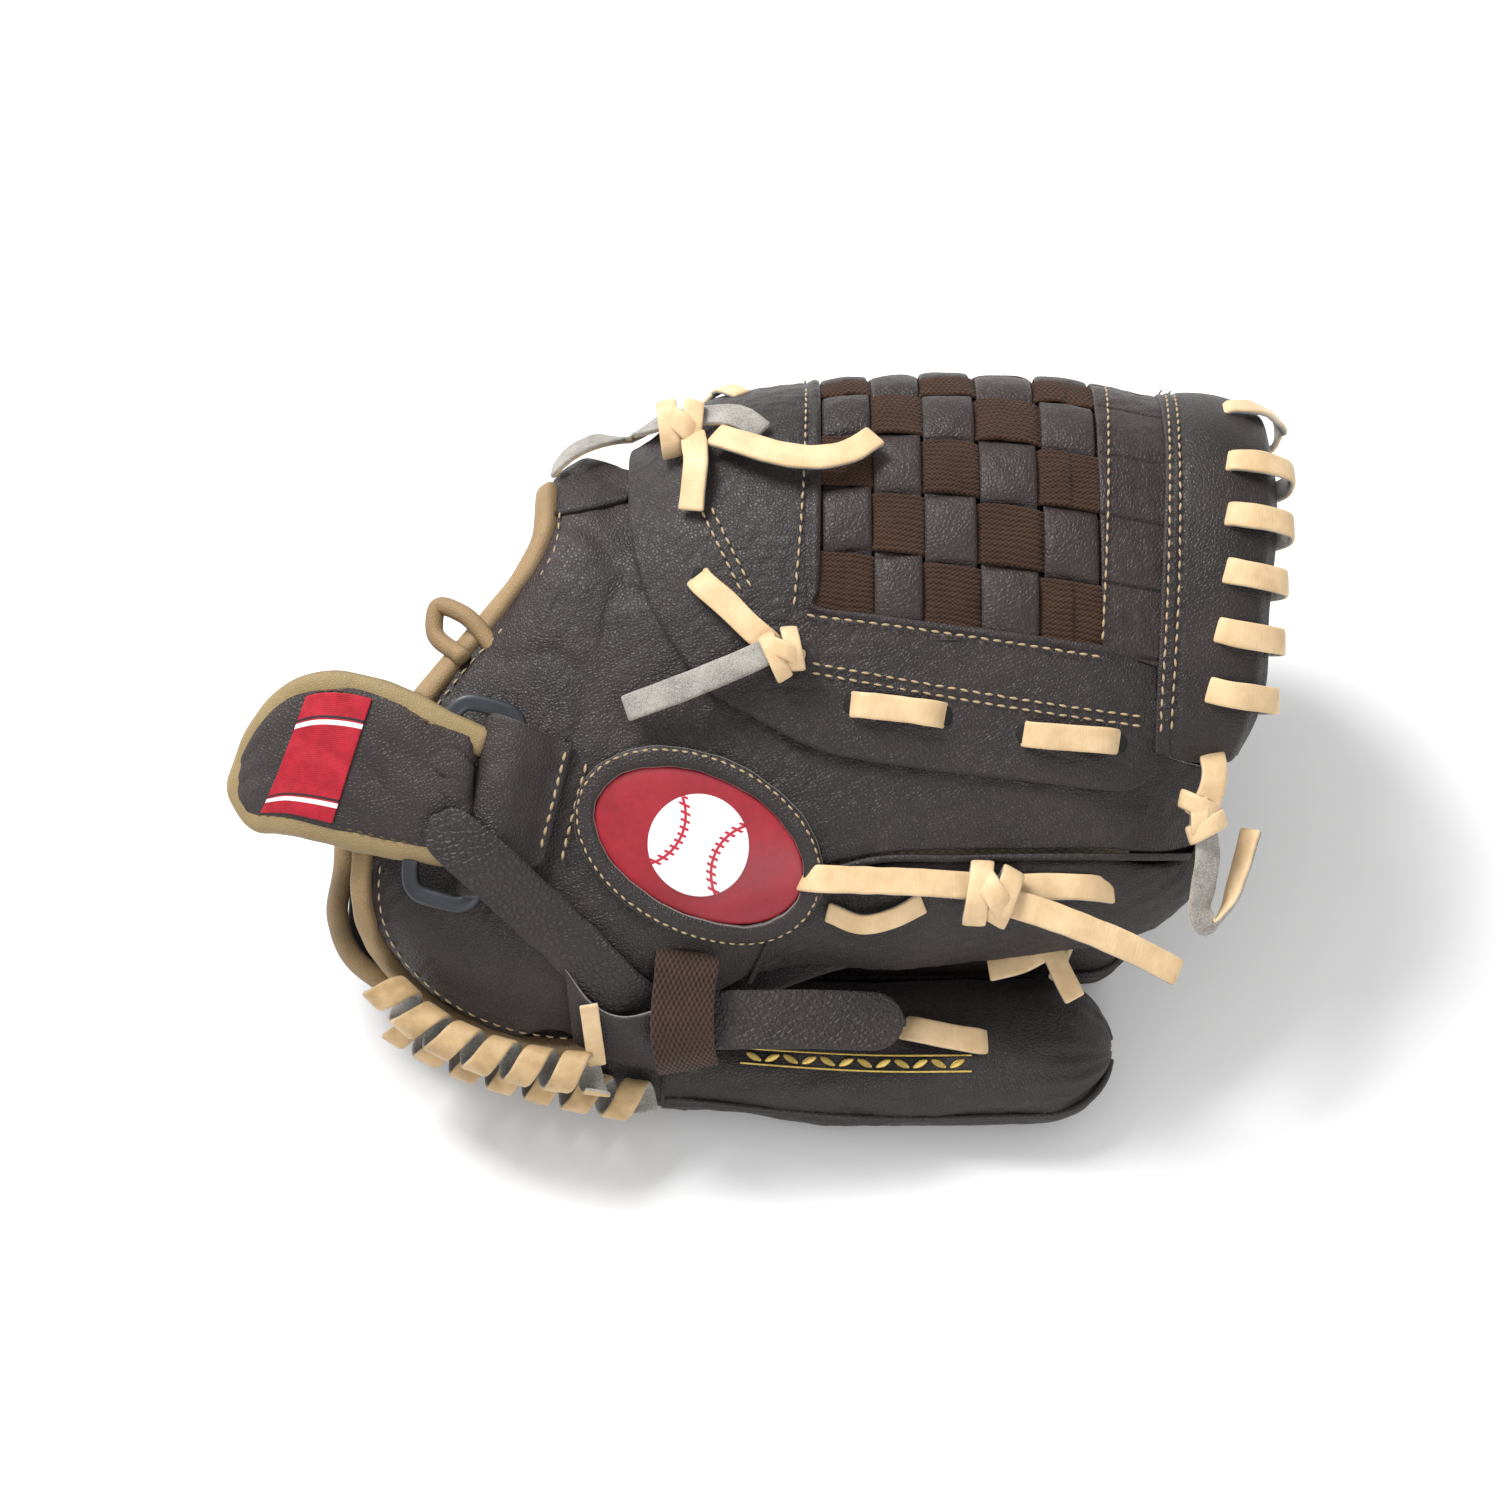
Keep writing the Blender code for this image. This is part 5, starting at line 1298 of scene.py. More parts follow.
@dataclass
class Emblem:
    """The oval patch: a padded stitched border, a red field and a plain white ball."""
    finishes: Finishes
    centre: Pair = (-0.018, 0.0889)
    radii: Pair = (0.033, 0.0204)
    tilt: float = math.radians(-25.0)
    border: float = 0.0062

    def place(self, share: Array, angle: Array, extra: float = 0.0) -> tuple[Array, Array]:
        """(u, v) at a share of the oval's radii, extra metres further out."""
        along = (share * self.radii[0] + extra) * np.cos(angle)
        side = (share * self.radii[1] + extra) * np.sin(angle)
        return (self.centre[0] + along * math.cos(self.tilt) - side * math.sin(self.tilt),
                self.centre[1] + along * math.sin(self.tilt) + side * math.cos(self.tilt))

    def disc(self, shares: Array, heights: Array, radii: Pair, low: float, around: int = 120) -> Shape:
        """A domed plate on the skin: rings from the rim to the middle, closed underneath by a flat face."""
        angle = math.tau * np.arange(around) / around
        share, turn = np.broadcast_arrays(np.append(1.0, shares)[:, None], angle[None, :])
        height = np.append(low, heights)[:, None] + 0 * turn
        along, side = share * radii[0] * np.cos(turn), share * radii[1] * np.sin(turn)
        u = self.centre[0] + along * math.cos(self.tilt) - side * math.sin(self.tilt)
        v = self.centre[1] + along * math.sin(self.tilt) + side * math.cos(self.tilt)
        arc = SKIN.near(u, v)
        grid = SKIN.point(u, arc, height)
        index = np.arange(grid.shape[0] * around).reshape(-1, around)
        faces = grid_faces(index, True).tolist() + [index[0][::-1].tolist(), index[-1].tolist()]
        uv = np.stack([along, side], -1).reshape(-1, 2)
        return Shape(grid.reshape(-1, 3), faces, uv).outward()

    def build(self) -> list[Piece]:
        """The border ring, the field, the ball and the stitching."""
        f = self.finishes
        angle = math.tau * np.arange(160) / 160
        u, v = self.place(np.ones(160), angle, self.border * 0.47)
        arc = SKIN.near(u, v)
        ups = SKIN.normal(u, arc)
        path = SKIN.point(u, arc, np.full(160, 0.0022))
        wave = 1 + 0.05 * np.sin(angle * 9) + 0.03 * np.sin(angle * 23)
        ring = sweep(path, ups, self.border / 2 * wave, 0.0019, 2.6, 20, closed=True)
        border = put("emblem_padded_border", ring, f.raw, Body.THUMB, replaces=("emblem_border",))
        shares = np.concatenate([np.linspace(0.995, 0.9, 6), np.linspace(0.86, 0.03, 22)])
        dome = 0.0019 + 0.0019 * np.sqrt(np.clip(1 - shares ** 2, 0, 1))
        field_piece = put("emblem_red_field", self.disc(shares, dome, self.radii, -0.0006), f.red,
            Body.THUMB, ("emblem_field",))
        size = 0.015
        ball_share = np.concatenate([np.linspace(0.99, 0.94, 3), np.linspace(0.88, 0.03, 14)])
        oval = ball_share * size
        rise = 0.0023 + 0.0019 * np.sqrt(np.clip(1 - (oval / 0.026) ** 2, 0, 1))
        ball = put("emblem_ball_print", self.disc(ball_share, rise, (size, size), 0.002), f.print,
            Body.THUMB, ("emblem_ball",))
        closed = np.append(angle, angle[0])
        u, v = self.place(np.ones(161), closed, self.border * 0.78)
        arc = SKIN.near(u, v)
        thread = put("emblem_stitching", stitches(SKIN.point(u, arc, np.full(161, 0.0037)),
            SKIN.normal(u, arc), 0.003, 0.0021, 0.00034), f.thread, Body.THUMB)
        return [border, field_piece, ball, thread]


# Laces --------------------------------------------------------------------------------------

@dataclass
class Laces:
    """The tied laces on the thumb's face, each a flat rawhide strip with a suede back."""
    finishes: Finishes

    def put_lace(self, name: str, shapes: Sequence[Shape], replaces: Sequence[str] = ()) -> Piece:
        """One lace, or the parts of one knot, in the lace finish."""
        return put(name, join(shapes), self.finishes.lace, Body.THUMB, replaces)

    def turns(self, centre: Sequence[float], heading: float, size: float = 1.0) -> list[Shape]:
        """A knot's turns: one collar across the lace and two that cross it on the slant.

        Args:
            centre: the knot's middle in the glove's frame.
            heading: the lace's direction in degrees from u towards v.
            size: scale of the turns.

        Returns:
            The turns.
        """
        turn = math.radians(heading)
        along, side = np.array((math.cos(turn), math.sin(turn), 0.0)), np.array((-math.sin(turn), math.cos(turn), 0.0))
        up = np.array((0.05, 0.12, 1.0))
        middle = np.asarray(centre, float)
        parts = []
        for shift, lean, slant, wide, tall in ((-0.0036, 0.1, 0.0008, 0.0072, 0.004),
            (0.0026, -0.4, -0.001, 0.0064, 0.0043), (0.0004, 1.3, 0.0012, 0.0052, 0.0052)):
            parts.append(wrap_ring(middle + along * shift * size, unit(along + side * lean), up,
                                   (wide * size, tall * size), 0.0056 * size, slant * size))
        return parts

    def knot(self, u: float, v: float, out: float, heading: float, size: float = 1.0) -> list[Shape]:
        """The turns of a knot that lies on the skin."""
        return self.turns(SKIN.point(np.array(u), SKIN.near(u, v), np.array(out)), heading, size)

    def flange(self) -> list[Piece]:
        """Two short runs along the tongue, in and out of punched holes."""
        top = OVER_TONGUE
        first = ((0.0268, 0.1303, top - 0.003), (0.0288, 0.1301, top), (0.0405, 0.1289, top + 0.0016),
            (0.0525, 0.1273, top), (0.0548, 0.1269, top - 0.003))
        second = ((0.0778, 0.1216, top - 0.003), (0.0797, 0.1213, top), (0.092, 0.1203, top + 0.0016),
            (0.1035, 0.1194, top), (0.1062, 0.119, top - 0.003))
        small = mm((-16, 223.5, 3), (-10.5, 223.8, 5.2), (-5, 223.2, 3))
        # Each hole is a disc of painted shadow.
        holes = [hole_at(u, v, 0.0036) for u, v in mm((26.8, 130.3), (54.8, 126.9), (77.8, 121.6),
            (106.2, 119), (-17.5, 167.2))]
        return [self.put_lace("tongue_lace_left", [skin_lace(first, 0.0078, seed=301)], ("flange_lace_1",)),
            self.put_lace("tongue_lace_right", [skin_lace(second, 0.0078, seed=302)], ("flange_lace_2",)),
            self.put_lace("tongue_lace_top", [skin_lace(small, 0.006, seed=303)]),
            put("tongue_lace_hole_shadows", join(holes), self.finishes.hole, Body.THUMB)]

    def crotch(self) -> list[Piece]:
        """The lace at the crotch: a suede-side run, a knot, a short end and a long tail."""
        run = mm((-61.5, 201, 2), (-56, 204, 4.5), (-44, 208.5, 6), (-30, 210.8, 7), (-15, 211.2, 9),
            (-4, 210.6, 8.8), (1, 208.5, 6.2))
        tail = mm((-11, 206, 8.5), (-4, 203, 10), (6, 199.8, 10.5), (18, 198.8, 10.2), (27.5, 200.8, 9.8),
            (34.5, 205.2, 9))
        end = mm((-16.5, 205, 9.8), (-15.8, 198.5, 10.5), (-17, 192, 9), (-18.5, 186.2, 6.6))
        made = [self.put_lace("crotch_lace_run", [skin_lace(run, 0.0086, 0.0021, turned=True, seed=311)],
            ("crotch_lace",)), self.put_lace("crotch_lace_turns",
            self.knot(-0.019, 0.2075, 0.01, 8.0, 1.12), ("crotch_lace_knot",)),
            self.put_lace("crotch_lace_free_end", [skin_lace(tail, 0.0082, 0.002, seed=312)],
            ("crotch_lace_tail",)), self.put_lace("crotch_lace_short_end",
            [skin_lace(end, 0.0078, 0.002, seed=313)])]
        return made

    def pocket(self) -> list[Piece]:
        """The lace at the pocket's corner: a tan run, a knot and a suede-side tail."""
        top = OVER_TONGUE
        run = ((-0.0182, 0.168, top - 0.003), (-0.016, 0.1652, top + 0.0004), (-0.009, 0.159, top + 0.0018),
            (-0.002, 0.152, top + 0.0024), (0.004, 0.147, top + 0.0016))
        tail = mm((6, 147, 8.5), (0.5, 144, 9.2), (-12, 138.5, 9), (-26, 133, 7.8), (-38.5, 128.7, 5.8))
        return [self.put_lace("pocket_lace_run", [skin_lace(run, 0.0078, seed=321)], ("pocket_lace",)),
            self.put_lace("pocket_lace_turns", self.knot(0.008, 0.145, 0.0088, 25.0, 0.92),
            ("pocket_lace_knot",)), self.put_lace("pocket_lace_free_end",
            [skin_lace(tail, 0.008, 0.0022, turned=True, seed=322)], ("pocket_lace_tail",))]

    def thumb_loop(self) -> list[Piece]:
        """The long lace over the welt: its run, knot, free end and the stretches behind."""
        run = mm((12.5, 79, 11), (15, 78.8, 14.6), (30, 78.2, 15), (48, 77.5, 14.8), (68, 76, 14.2))
        behind = mm((70, 75.6, 12), (85, 76.2, 11), (98, 75.8, 9.6), (104.8, 74.8, 4))
        short = mm((20.5, 69, 1.2), (30, 67.2, 4.4), (40, 69, 4), (48, 71.6, 1.2))
        tail = mm((67, 73.5, 18), (83, 68.8, 19), (96, 64, 18.5), (110, 58, 16), (123.8, 50.8, 11.8))
        faces = ((0.1, 0.1, 1.0), (0.1, 0.2, 1.0), (0.15, 0.25, 1.0), (0.2, 0.3, 1.0))
        return [self.put_lace("thumb_lace_run", [strap(run, faces, 0.0084, 0.002, 60, 5.0, 0.03, 331)],
            ("thumb_loop_lace",)), self.put_lace("thumb_lace_turns",
            self.turns((0.069, 0.0738, 0.0168), -8.0, 1.25), ("thumb_loop_knot",)),
            self.put_lace("thumb_lace_behind", [strap(behind, faces, 0.008, 0.002, 40, 5.0, 0.03, 332)]),
            self.put_lace("thumb_lace_short", [skin_lace(short, 0.0066, seed=333)]),
            self.put_lace("thumb_lace_free_end", [strap(tail, faces, 0.0086, 0.0021, 44, 5.0, 0.03, 334)],
            ("thumb_loop_tail",))]

    def corner(self) -> list[Piece]:
        """The corner's lace: a loop under the band, a knot, and an end that hangs and curls up."""
        loop = mm((134.5, 116, 7), (135, 110, 11), (132.5, 101, 11.8), (129.5, 97, 10))
        tail = mm((131.5, 96, 11.2), (133, 86, 10.8), (131.8, 76, 9.6), (131, 68, 8.6), (134, 64, 8),
            (138.5, 69, 7.2), (142.5, 79, 6), (146.5, 92.5, 4))
        back = ((-0.2, -0.1, -1.0), (-0.2, 0.0, -1.0), (-0.2, 0.1, -1.0), (-0.45, 0.45, -0.75),
            (-0.6, 0.9, -0.1), (-0.75, 0.55, 0.5), (-0.75, 0.3, 0.65), (-0.7, 0.25, 0.7))
        centre, up = np.array((0.1305, 0.097, 0.0105)), np.array((0.1, 0.1, 1.0))
        turns = [wrap_ring(centre + np.array((dx, dy, 0.0)), np.array(along), up, (0.0056, 0.0036), 0.0056,
            slant) for dx, dy, along, slant in ((0.0, 0.003, (0.2, 1.0, 0.0), 0.0014),
            (0.0022, -0.003, (-0.3, 1.0, 0.0), -0.0012), (0.0, 0.0, (1.0, 0.35, 0.0), 0.0018))]
        return [self.put_lace("corner_lace_loop", [strap(loop, ((0.15, 0.0, 1.0),) * 3, 0.0078, 0.0019, 26,
            5.0, 0.03, 341)], ("corner_lace",)), self.put_lace("corner_lace_turns", turns,
            ("corner_lace_knot",)), self.put_lace("corner_lace_free_end",
            [strap(tail, back, 0.0074, 0.0021, 60, 5.0, 0.04, 342)], ("corner_lace_tail",))]

    def build(self) -> list[Piece]:
        """Every lace on the thumb's face."""
        return [*self.flange(), *self.crotch(), *self.pocket(), *self.thumb_loop(), *self.corner()]


# Wrist --------------------------------------------------------------------------------------

@dataclass
class Wrist:
    """Wrist pad with its binding and label, plastic ring, tab, cinch strap, keeper and pull tab."""
    finishes: Finishes
    top: tuple[Pair, ...] = mm((-158.5, 103), (-156, 111), (-151, 121.8), (-143.7, 132.2), (-134.7, 138.2),
        (-122.8, 139.5), (-107.8, 135), (-95.8, 128.8), (-80, 120.5))
    foot: tuple[Pair, ...] = mm((-158.5, 101), (-154.2, 97), (-140, 93), (-122.8, 88.4), (-108, 85.5),
        (-92.5, 84), (-80, 83))
    height: tuple[Pair, ...] = mm((-160, -9), (-150, -1), (-134, 7.2), (-112, 11.5), (-92.5, 12.5),
        (-80, 11.8))

    def pad_point(self, u: Array, t: Array, lift: float = 0.0) -> Array:
        """A place on the pad: t runs from its lower edge to its upper one, and it crowns between."""
        low, high = smooth(self.foot, u), smooth(self.top, u)
        crown = 0.003 * np.clip(4 * t * (1 - t), 0, 1) ** 0.6
        w = smooth(self.height, u) + crown + lift + 0.0005 * ripple(u, t * 0.04, 401, 0.016)
        return np.stack(np.broadcast_arrays(u, low + (high - low) * t, w), -1)

    def pad(self) -> list[Piece]:
        """The front pad, the strap that goes on round the wrist, the binding and its stitches."""
        f = self.finishes
        rows, columns = edged(44, 0.042, 0.003), edged(70, 0.075, 0.003)
        u = -0.1565 + columns * (0.1565 - 0.085)
        uu, tt = np.broadcast_arrays(u[None, :], (0.06 + 0.88 * rows)[:, None])
        middle = self.pad_point(uu, tt, -0.0022)
        wrinkle = 0.0003 * creases(uu, tt * 0.04, 402, 0.014) * ease((uu + 0.112) / 0.02)
        middle = middle + wrinkle[..., None] * np.array((0.0, 0.0, 1.0))
        pad = put("wrist_pad_hide", slab(middle, normals_of(middle), 0.0052, (rows, columns),
            (0.042, 0.075), 0.003), f.shell, Body.STRAP, replaces=("wrist_pad",))
        path = [(-0.118, 0.113, 0.006), (-0.134, 0.118, 0.0015), (-0.144, 0.117, -0.008),
            (-0.148, 0.115, -0.02), (-0.145, 0.112, -0.036), (-0.14, 0.11, -0.046)]
        looks = ((0.0, 0.0, 1.0), (-0.35, 0.0, 0.95), (-0.85, 0.1, 0.5), (-1.0, 0.1, 0.0),
            (-0.95, 0.1, -0.3), (-0.85, 0.1, -0.5))
        around = put("wrist_strap_round", strap(path, looks, 0.029, 0.0042, 60, 6.0, 0.01, 403), f.shell, Body.STRAP)
        outline = [*[(u, 0.93) for u in np.linspace(-0.083, -0.15, 12)], (-0.1545, 0.8), (-0.1562, 0.5),
            (-0.1545, 0.22), *[(u, 0.06) for u in np.linspace(-0.15, -0.09, 11)]]
        spots = np.array(outline)
        edge_line = by_length(self.pad_point(spots[:, 0], np.array(spots[:, 1])) - np.array((0, 0, 0.003)), 170)
        inside = self.pad_point(np.full(170, -0.118), np.full(170, 0.5))
        face = unit(np.array((-0.1, 0.02, 1.0)) + (edge_line[:, :1] < -0.14) * np.array((-0.45, 0.0, 0.0)))
        run = run_of(edge_line)
        fold = sweep(edge_line, np.broadcast_to(face, edge_line.shape),
            0.0043 + 0.0003 * ripple(run, run, 404, 0.02), 0.0034, 2.5, 20)
        binding = put("wrist_pad_binding", fold, f.pad_binding, Body.STRAP)
        inward = unit(inside - edge_line)
        seam = edge_line + inward * 0.0019 + face * 0.0031
        thread = put("wrist_pad_stitching", stitches(seam, np.broadcast_to(face, seam.shape), 0.0034,
            0.0024, 0.00034), f.dark_thread, Body.STRAP)
        return [pad, around, binding, thread]

    def label(self) -> Piece:
        """The red woven label on the pad's end."""
        rows, columns = edged(40, 0.034, 0.0006), edged(26, 0.02, 0.0006)
        low = by_index(((-0.1495, 0.115), (-0.127, 0.11)), columns)
        high = by_index(((-0.135, 0.885), (-0.115, 0.885)), columns)
        place = low[None] * (1 - rows[:, None, None]) + high[None] * rows[:, None, None]
        middle = self.pad_point(place[..., 0], place[..., 1], 0.001)
        shape = slab(middle, normals_of(middle), 0.0007, (rows, columns), (0.034, 0.02), 0.0006)
        return put("wrist_woven_label", shape, self.finishes.label, Body.STRAP, ("wrist_label",))

    def ring(self) -> Piece:
        """The plastic ring: a flattened bar on a rounded rectangle, a superellipse with power 4.4."""
        angle = math.tau * (np.arange(120) + 0.5)[:, None] / 120
        up, across = np.array((0.258, 0.966, 0.0)), np.array((0.966, -0.258, 0.06))
        c, s = np.cos(angle), np.sin(angle)
        path = (np.array((-0.0878, 0.101, 0.0112)) + up * 0.0298 * np.sign(c) * np.abs(c) ** 0.45
                + across * 0.0115 * np.sign(s) * np.abs(s) ** 0.45)
        shape = sweep(path, np.tile((0.0, 0.0, 1.0), (120, 1)), 0.0026, 0.0019, 3.2, 16, closed=True)
        return put("strap_ring", shape, self.finishes.plastic, Body.STRAP, ("buckle_ring",))

    def tab(self) -> list[Piece]:
        """The leather loop that holds the ring, folded round its bar, with two stitch rows."""
        f = self.finishes
        lower = mm((-85, 75.5, 3), (-88.5, 74.5, 7.5), (-86.2, 73.5, 10.8), (-80, 74.2, 11.2),
            (-73.5, 78, 8), (-68, 81.2, 3.8), (-64, 83.8, 2.2))
        upper = mm((-74.5, 124.5, 3), (-78.2, 126.2, 7.5), (-75.8, 126.2, 10.8), (-70, 124.5, 10.8),
            (-64.5, 122.2, 7.2), (-59.5, 120, 3.4), (-55.2, 118.2, 2.2))
        rows, columns = edged(60, 0.046, 0.0014), edged(60, 0.034, 0.0014)
        low, high = by_index(lower, columns), by_index(upper, columns)
        grid = low[None] * (1 - rows[:, None, None]) + high[None] * rows[:, None, None]
        arc = SKIN.near(grid[..., 0], grid[..., 1])
        middle = SKIN.point(grid[..., 0], arc, grid[..., 2] + 0.0003 * ripple(grid[..., 0], grid[..., 1], 411, 0.012))
        shape = slab(middle, normals_of(middle), 0.0022, (rows, columns), (0.046, 0.034), 0.0012)
        piece = put("ring_tab_fold", shape, f.raw, Body.THUMB, replaces=("ring_tab",))
        rows_of_thread = [skin_line(mm((-57.2, 116.5), (-61.2, 101), (-65.2, 86)), 0.0038, 90),
            skin_line(mm((-51.4, 113), (-55.5, 98), (-59.2, 83)), 0.0007, 90)]
        shapes = [stitches(p, n, 0.0038, 0.003, 0.00048, 412 + i) for i, (p, n) in enumerate(rows_of_thread)]
        return [piece, put("ring_tab_stitching", join(shapes), f.thread, Body.THUMB)]

    def straps(self) -> list[Piece]:
        """Cinch strap, the slot it goes through, the knit keeper and the pull tab."""
        f = self.finishes
        cinch = skin_lace(mm((-35, 39, 0.2), (-40, 44.5, 3.4), (-49, 53.5, 4), (-60, 64, 5),
            (-70, 73.5, 10), (-79, 82.5, 15.8), (-87, 89.5, 17.2), (-94.5, 96, 16.5)), 0.017, 0.0023, 70,
            seed=421, power=7.0, round_end=0.008)
        rows, columns = edged(34, 0.02, 0.0011), edged(70, 0.036, 0.0011)
        low = by_index(mm((-56, 29, -6), (-45, 23.5, -10), (-32, 20.5, -12), (-18, 19.5, -12)), columns)
        high = by_index(mm((-58, 51.5, 7), (-50, 41.2, 4.8), (-40, 37.2, 3), (-23, 42, 4.4)), columns)
        share = rows[:, None, None]
        middle = low[None] * (1 - share) + high[None] * share
        lift = 0.0022 * np.sin(math.pi * share[..., 0] * 0.8) + 0.0008 * ripple(middle[..., 0], middle[..., 1], 422, 0.012)
        middle = middle + lift[..., None] * np.array((0.0, 0.0, 1.0))
        slot_piece = slab(middle, normals_of(middle), 0.0021, (rows, columns), (0.02, 0.036), 0.0011)
        level = ((0.05, 0.15, 1.0), (0.05, 0.1, 1.0), (0.05, 0.0, 1.0), (0.05, -0.5, 1.0))
        keeper = strap(mm((-21.5, 56, 5.2), (-22, 51, 8.2), (-22.8, 43, 8.6), (-23.2, 33, 7.6),
            (-22.6, 26, 3.6), (-21.5, 21.5, -3)), level, 0.0188, 0.0019, 60, 7.0, 0.02, 423)
        tab = strap(mm((-16, 36, 2), (-5, 36.2, 2.6), (15, 36.2, 0.6), (43, 35, -4)),
            ((0.05, 0.12, 1.0),) * 3, 0.0178, 0.0027, 90, 7.0, 0.01, 424, round_end=0.0095)
        tie = strap(mm((-51, 40.5, 7.5), (-50, 32, 3), (-49, 22.5, -6)), level[:2], 0.0056, 0.0017, 24, 5.0,
            0.03, 425)
        return [put("cinch_strap_hide", cinch, f.pebbled, Body.THUMB, replaces=("cinch_strap",)),
                put("strap_slot_hide", slot_piece, f.raw, Body.THUMB, replaces=("strap_slot_loop",)),
                put("keeper_tape", keeper, f.keeper, Body.THUMB, ("knit_keeper",)),
                put("heel_tie_lace", tie, f.lace, Body.THUMB),
                put("pull_tab_hide", tab, f.pebbled, Body.TAB, replaces=("pull_tab",))]

    def seams(self) -> Piece:
        """Cream stitching along the heel binding and the open back."""
        lines = [skin_line(mm((-113.5, 83), (-114, 74), (-111, 60.5), (-96.5, 43.5), (-73.5, 32.5),
            (-56, 30)), 0.0006, 200), skin_line(mm((-97.5, 129), (-89, 140), (-76.5, 153.5)), 0.0006, 90),
            skin_line(mm((-66, 168), (-61.2, 178), (-60.2, 188)), 0.0006, 60)]
        return put("heel_stitching", join([stitches(p, n, 0.0041, 0.0027, 0.00033, 430 + i) for i,
            (p, n) in enumerate(lines)]), self.finishes.thread, Body.THUMB)

    def build(self) -> list[Piece]:
        """Every piece of the wrist."""
        return [*self.pad(), self.label(), self.ring(), *self.tab(), *self.straps(), self.seams()]


# Fingers ------------------------------------------------------------------------------------

@dataclass
class Fingers:
    """The finger half: four stalls, the hand's back and palm, its bindings and laces."""
    finishes: Finishes
    index: tuple = ((-0.03, 0.1395, -0.095, 0.02, 0.0165, 18), (0.05, 0.1405, -0.0985, 0.02, 0.0165, 14),
        (0.126, 0.14, -0.094, 0.0165, 0.014, 12))
    middle: tuple = ((-0.03, 0.1, -0.084, 0.02, 0.0165, 35), (0.05, 0.1, -0.0868, 0.02, 0.017, 35),
        (0.119, 0.099, -0.0868, 0.017, 0.016, 33))
    ring: tuple = ((-0.03, 0.063, -0.06, 0.0195, 0.0165, 35), (0.04, 0.0625, -0.0614, 0.0195, 0.0165, 35),
        (0.1, 0.061, -0.0595, 0.017, 0.015, 37))
    pinkie: tuple = ((-0.03, 0.027, -0.0355, 0.0195, 0.015, 35),
        (0.035, 0.0235, -0.0357, 0.0225, 0.0165, 35), (0.086, 0.025, -0.033, 0.0225, 0.0165, 32))

    def stalls(self) -> list[Piece]:
        """The four stalls, gathered at their tips, with a welt along each side."""
        made = []
        for i, (name, sections, tip) in enumerate((("index", self.index, 0.016),
            ("middle", self.middle, 0.017), ("ring", self.ring, 0.016), ("pinkie", self.pinkie, 0.0215))):
            shape = finger_stall(sections, tip, 0.0032, 0.0006, 500 + 10 * i, 0.0007)
            finish = self.finishes.palm if name == "pinkie" else self.finishes.shell
            made.append(put(f"{name}_finger_hide", shape, finish, Body.FINGERS, replaces=(f"{name}_stall",)))
            table = np.array(sections, float)
            welts = []
            for side in (1.0, -1.0):
                turn = np.radians(np.linspace(0.0, 80.0, 12)[1:])
                u = np.concatenate([np.linspace(table[0, 0] + 0.002, table[-1, 0], 40),
                                    table[-1, 0] + tip * np.sin(turn)])
                shrink = np.concatenate([np.ones(40), np.cos(turn)])
                v, w, wide, _, tilt = (smooth(table[:, (0, k)], u) for k in range(1, 6))
                tilt = np.radians(tilt)
                reach = side * (wide * shrink + 0.0002)
                line = np.stack([u, v + reach * np.cos(tilt), w - reach * np.sin(tilt)], -1)
                ups = np.stack([0 * u, np.sin(tilt), np.cos(tilt)], -1)
                welts.append(sweep(lifted(line, 0.0012), ups, 0.0012, 0.0012, 2.0, 10))
            made.append(put(f"{name}_finger_welts", join(welts), self.finishes.palm, Body.FINGERS))
        return made

    def hand(self) -> list[Piece]:
        """The hand's back shell, its palm, the pocket leather and the heel pad."""
        f = self.finishes
        outer = mm((-128, ((58, -34), (64, -50), (82, -64), (98, -69), (112, -67), (124, -60))),
            (-100, ((36, -34), (43, -54), (68, -78), (94, -89), (116, -88), (134, -78))),
            (-66, ((19, -31), (28, -53), (58, -80), (90, -100), (126, -108), (160, -96))),
            (-28, ((9, -27), (19, -51), (52, -77.5), (90, -102), (132, -118), (164, -110))))
        back = loft(outer, (110, 90), 0.0026, 0.0007, 541)
        inner = mm((-112, ((66, -32), (80, -40), (98, -46), (114, -46))),
            (-80, ((44, -35), (60, -45), (86, -58), (118, -64))),
            (-30, ((28, -20.5), (54, -40), (90, -64), (132, -80))))
        palm = loft(inner, (60, 60), 0.0024, 0.0005, 542)
        pocket = loft(mm((-34, ((112, -26), (150, -30), (172, -48), (168, -68), (120, -79))),
            (40, ((128, -26), (172, -32), (196, -52), (186, -74), (134, -80))),
            (118, ((122, -28.5), (165, -34), (186, -52), (176, -72), (134, -78)))), (110, 130), 0.002,
            0.0008, 543)
        pad = loft(mm((-100, ((56, -43.5), (64, -49), (72, -54))),
            (-55, ((36, -43.5), (47, -51), (58, -58)))), (24, 40), 0.006, 0.0003, 544, 0.006)
        heel = loft(mm((-100, ((34, -32), (40, -25), (50, -20), (62, -20))),
            (-60, ((15, -32), (20, -23), (32, -18), (48, -18))), (-22,
            ((7, -36), (13, -24), (30, -19), (46, -23)))), (30, 60), 0.0024, 0.0006, 545)
        made = [put("pinkie_heel_hide", heel, f.palm, Body.FINGERS),
                put("hand_back_hide", back, f.shell, Body.FINGERS, replaces=("hand_back_shell",)),
                put("finger_side_palm", palm, f.palm, Body.FINGERS, ("palm_finger_side",)),
                put("pinkie_heel_cushion", pad, f.felt, Body.FINGERS, ("heel_pad_pinkie",))]
        lining = put("pocket_leather", pocket, f.palm, None)
        start, end = world(np.array((0.04, 0.172, -0.03))), world(np.array((0.04, 0.15, -0.08)))
        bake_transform(lining)
        return made + [lining]

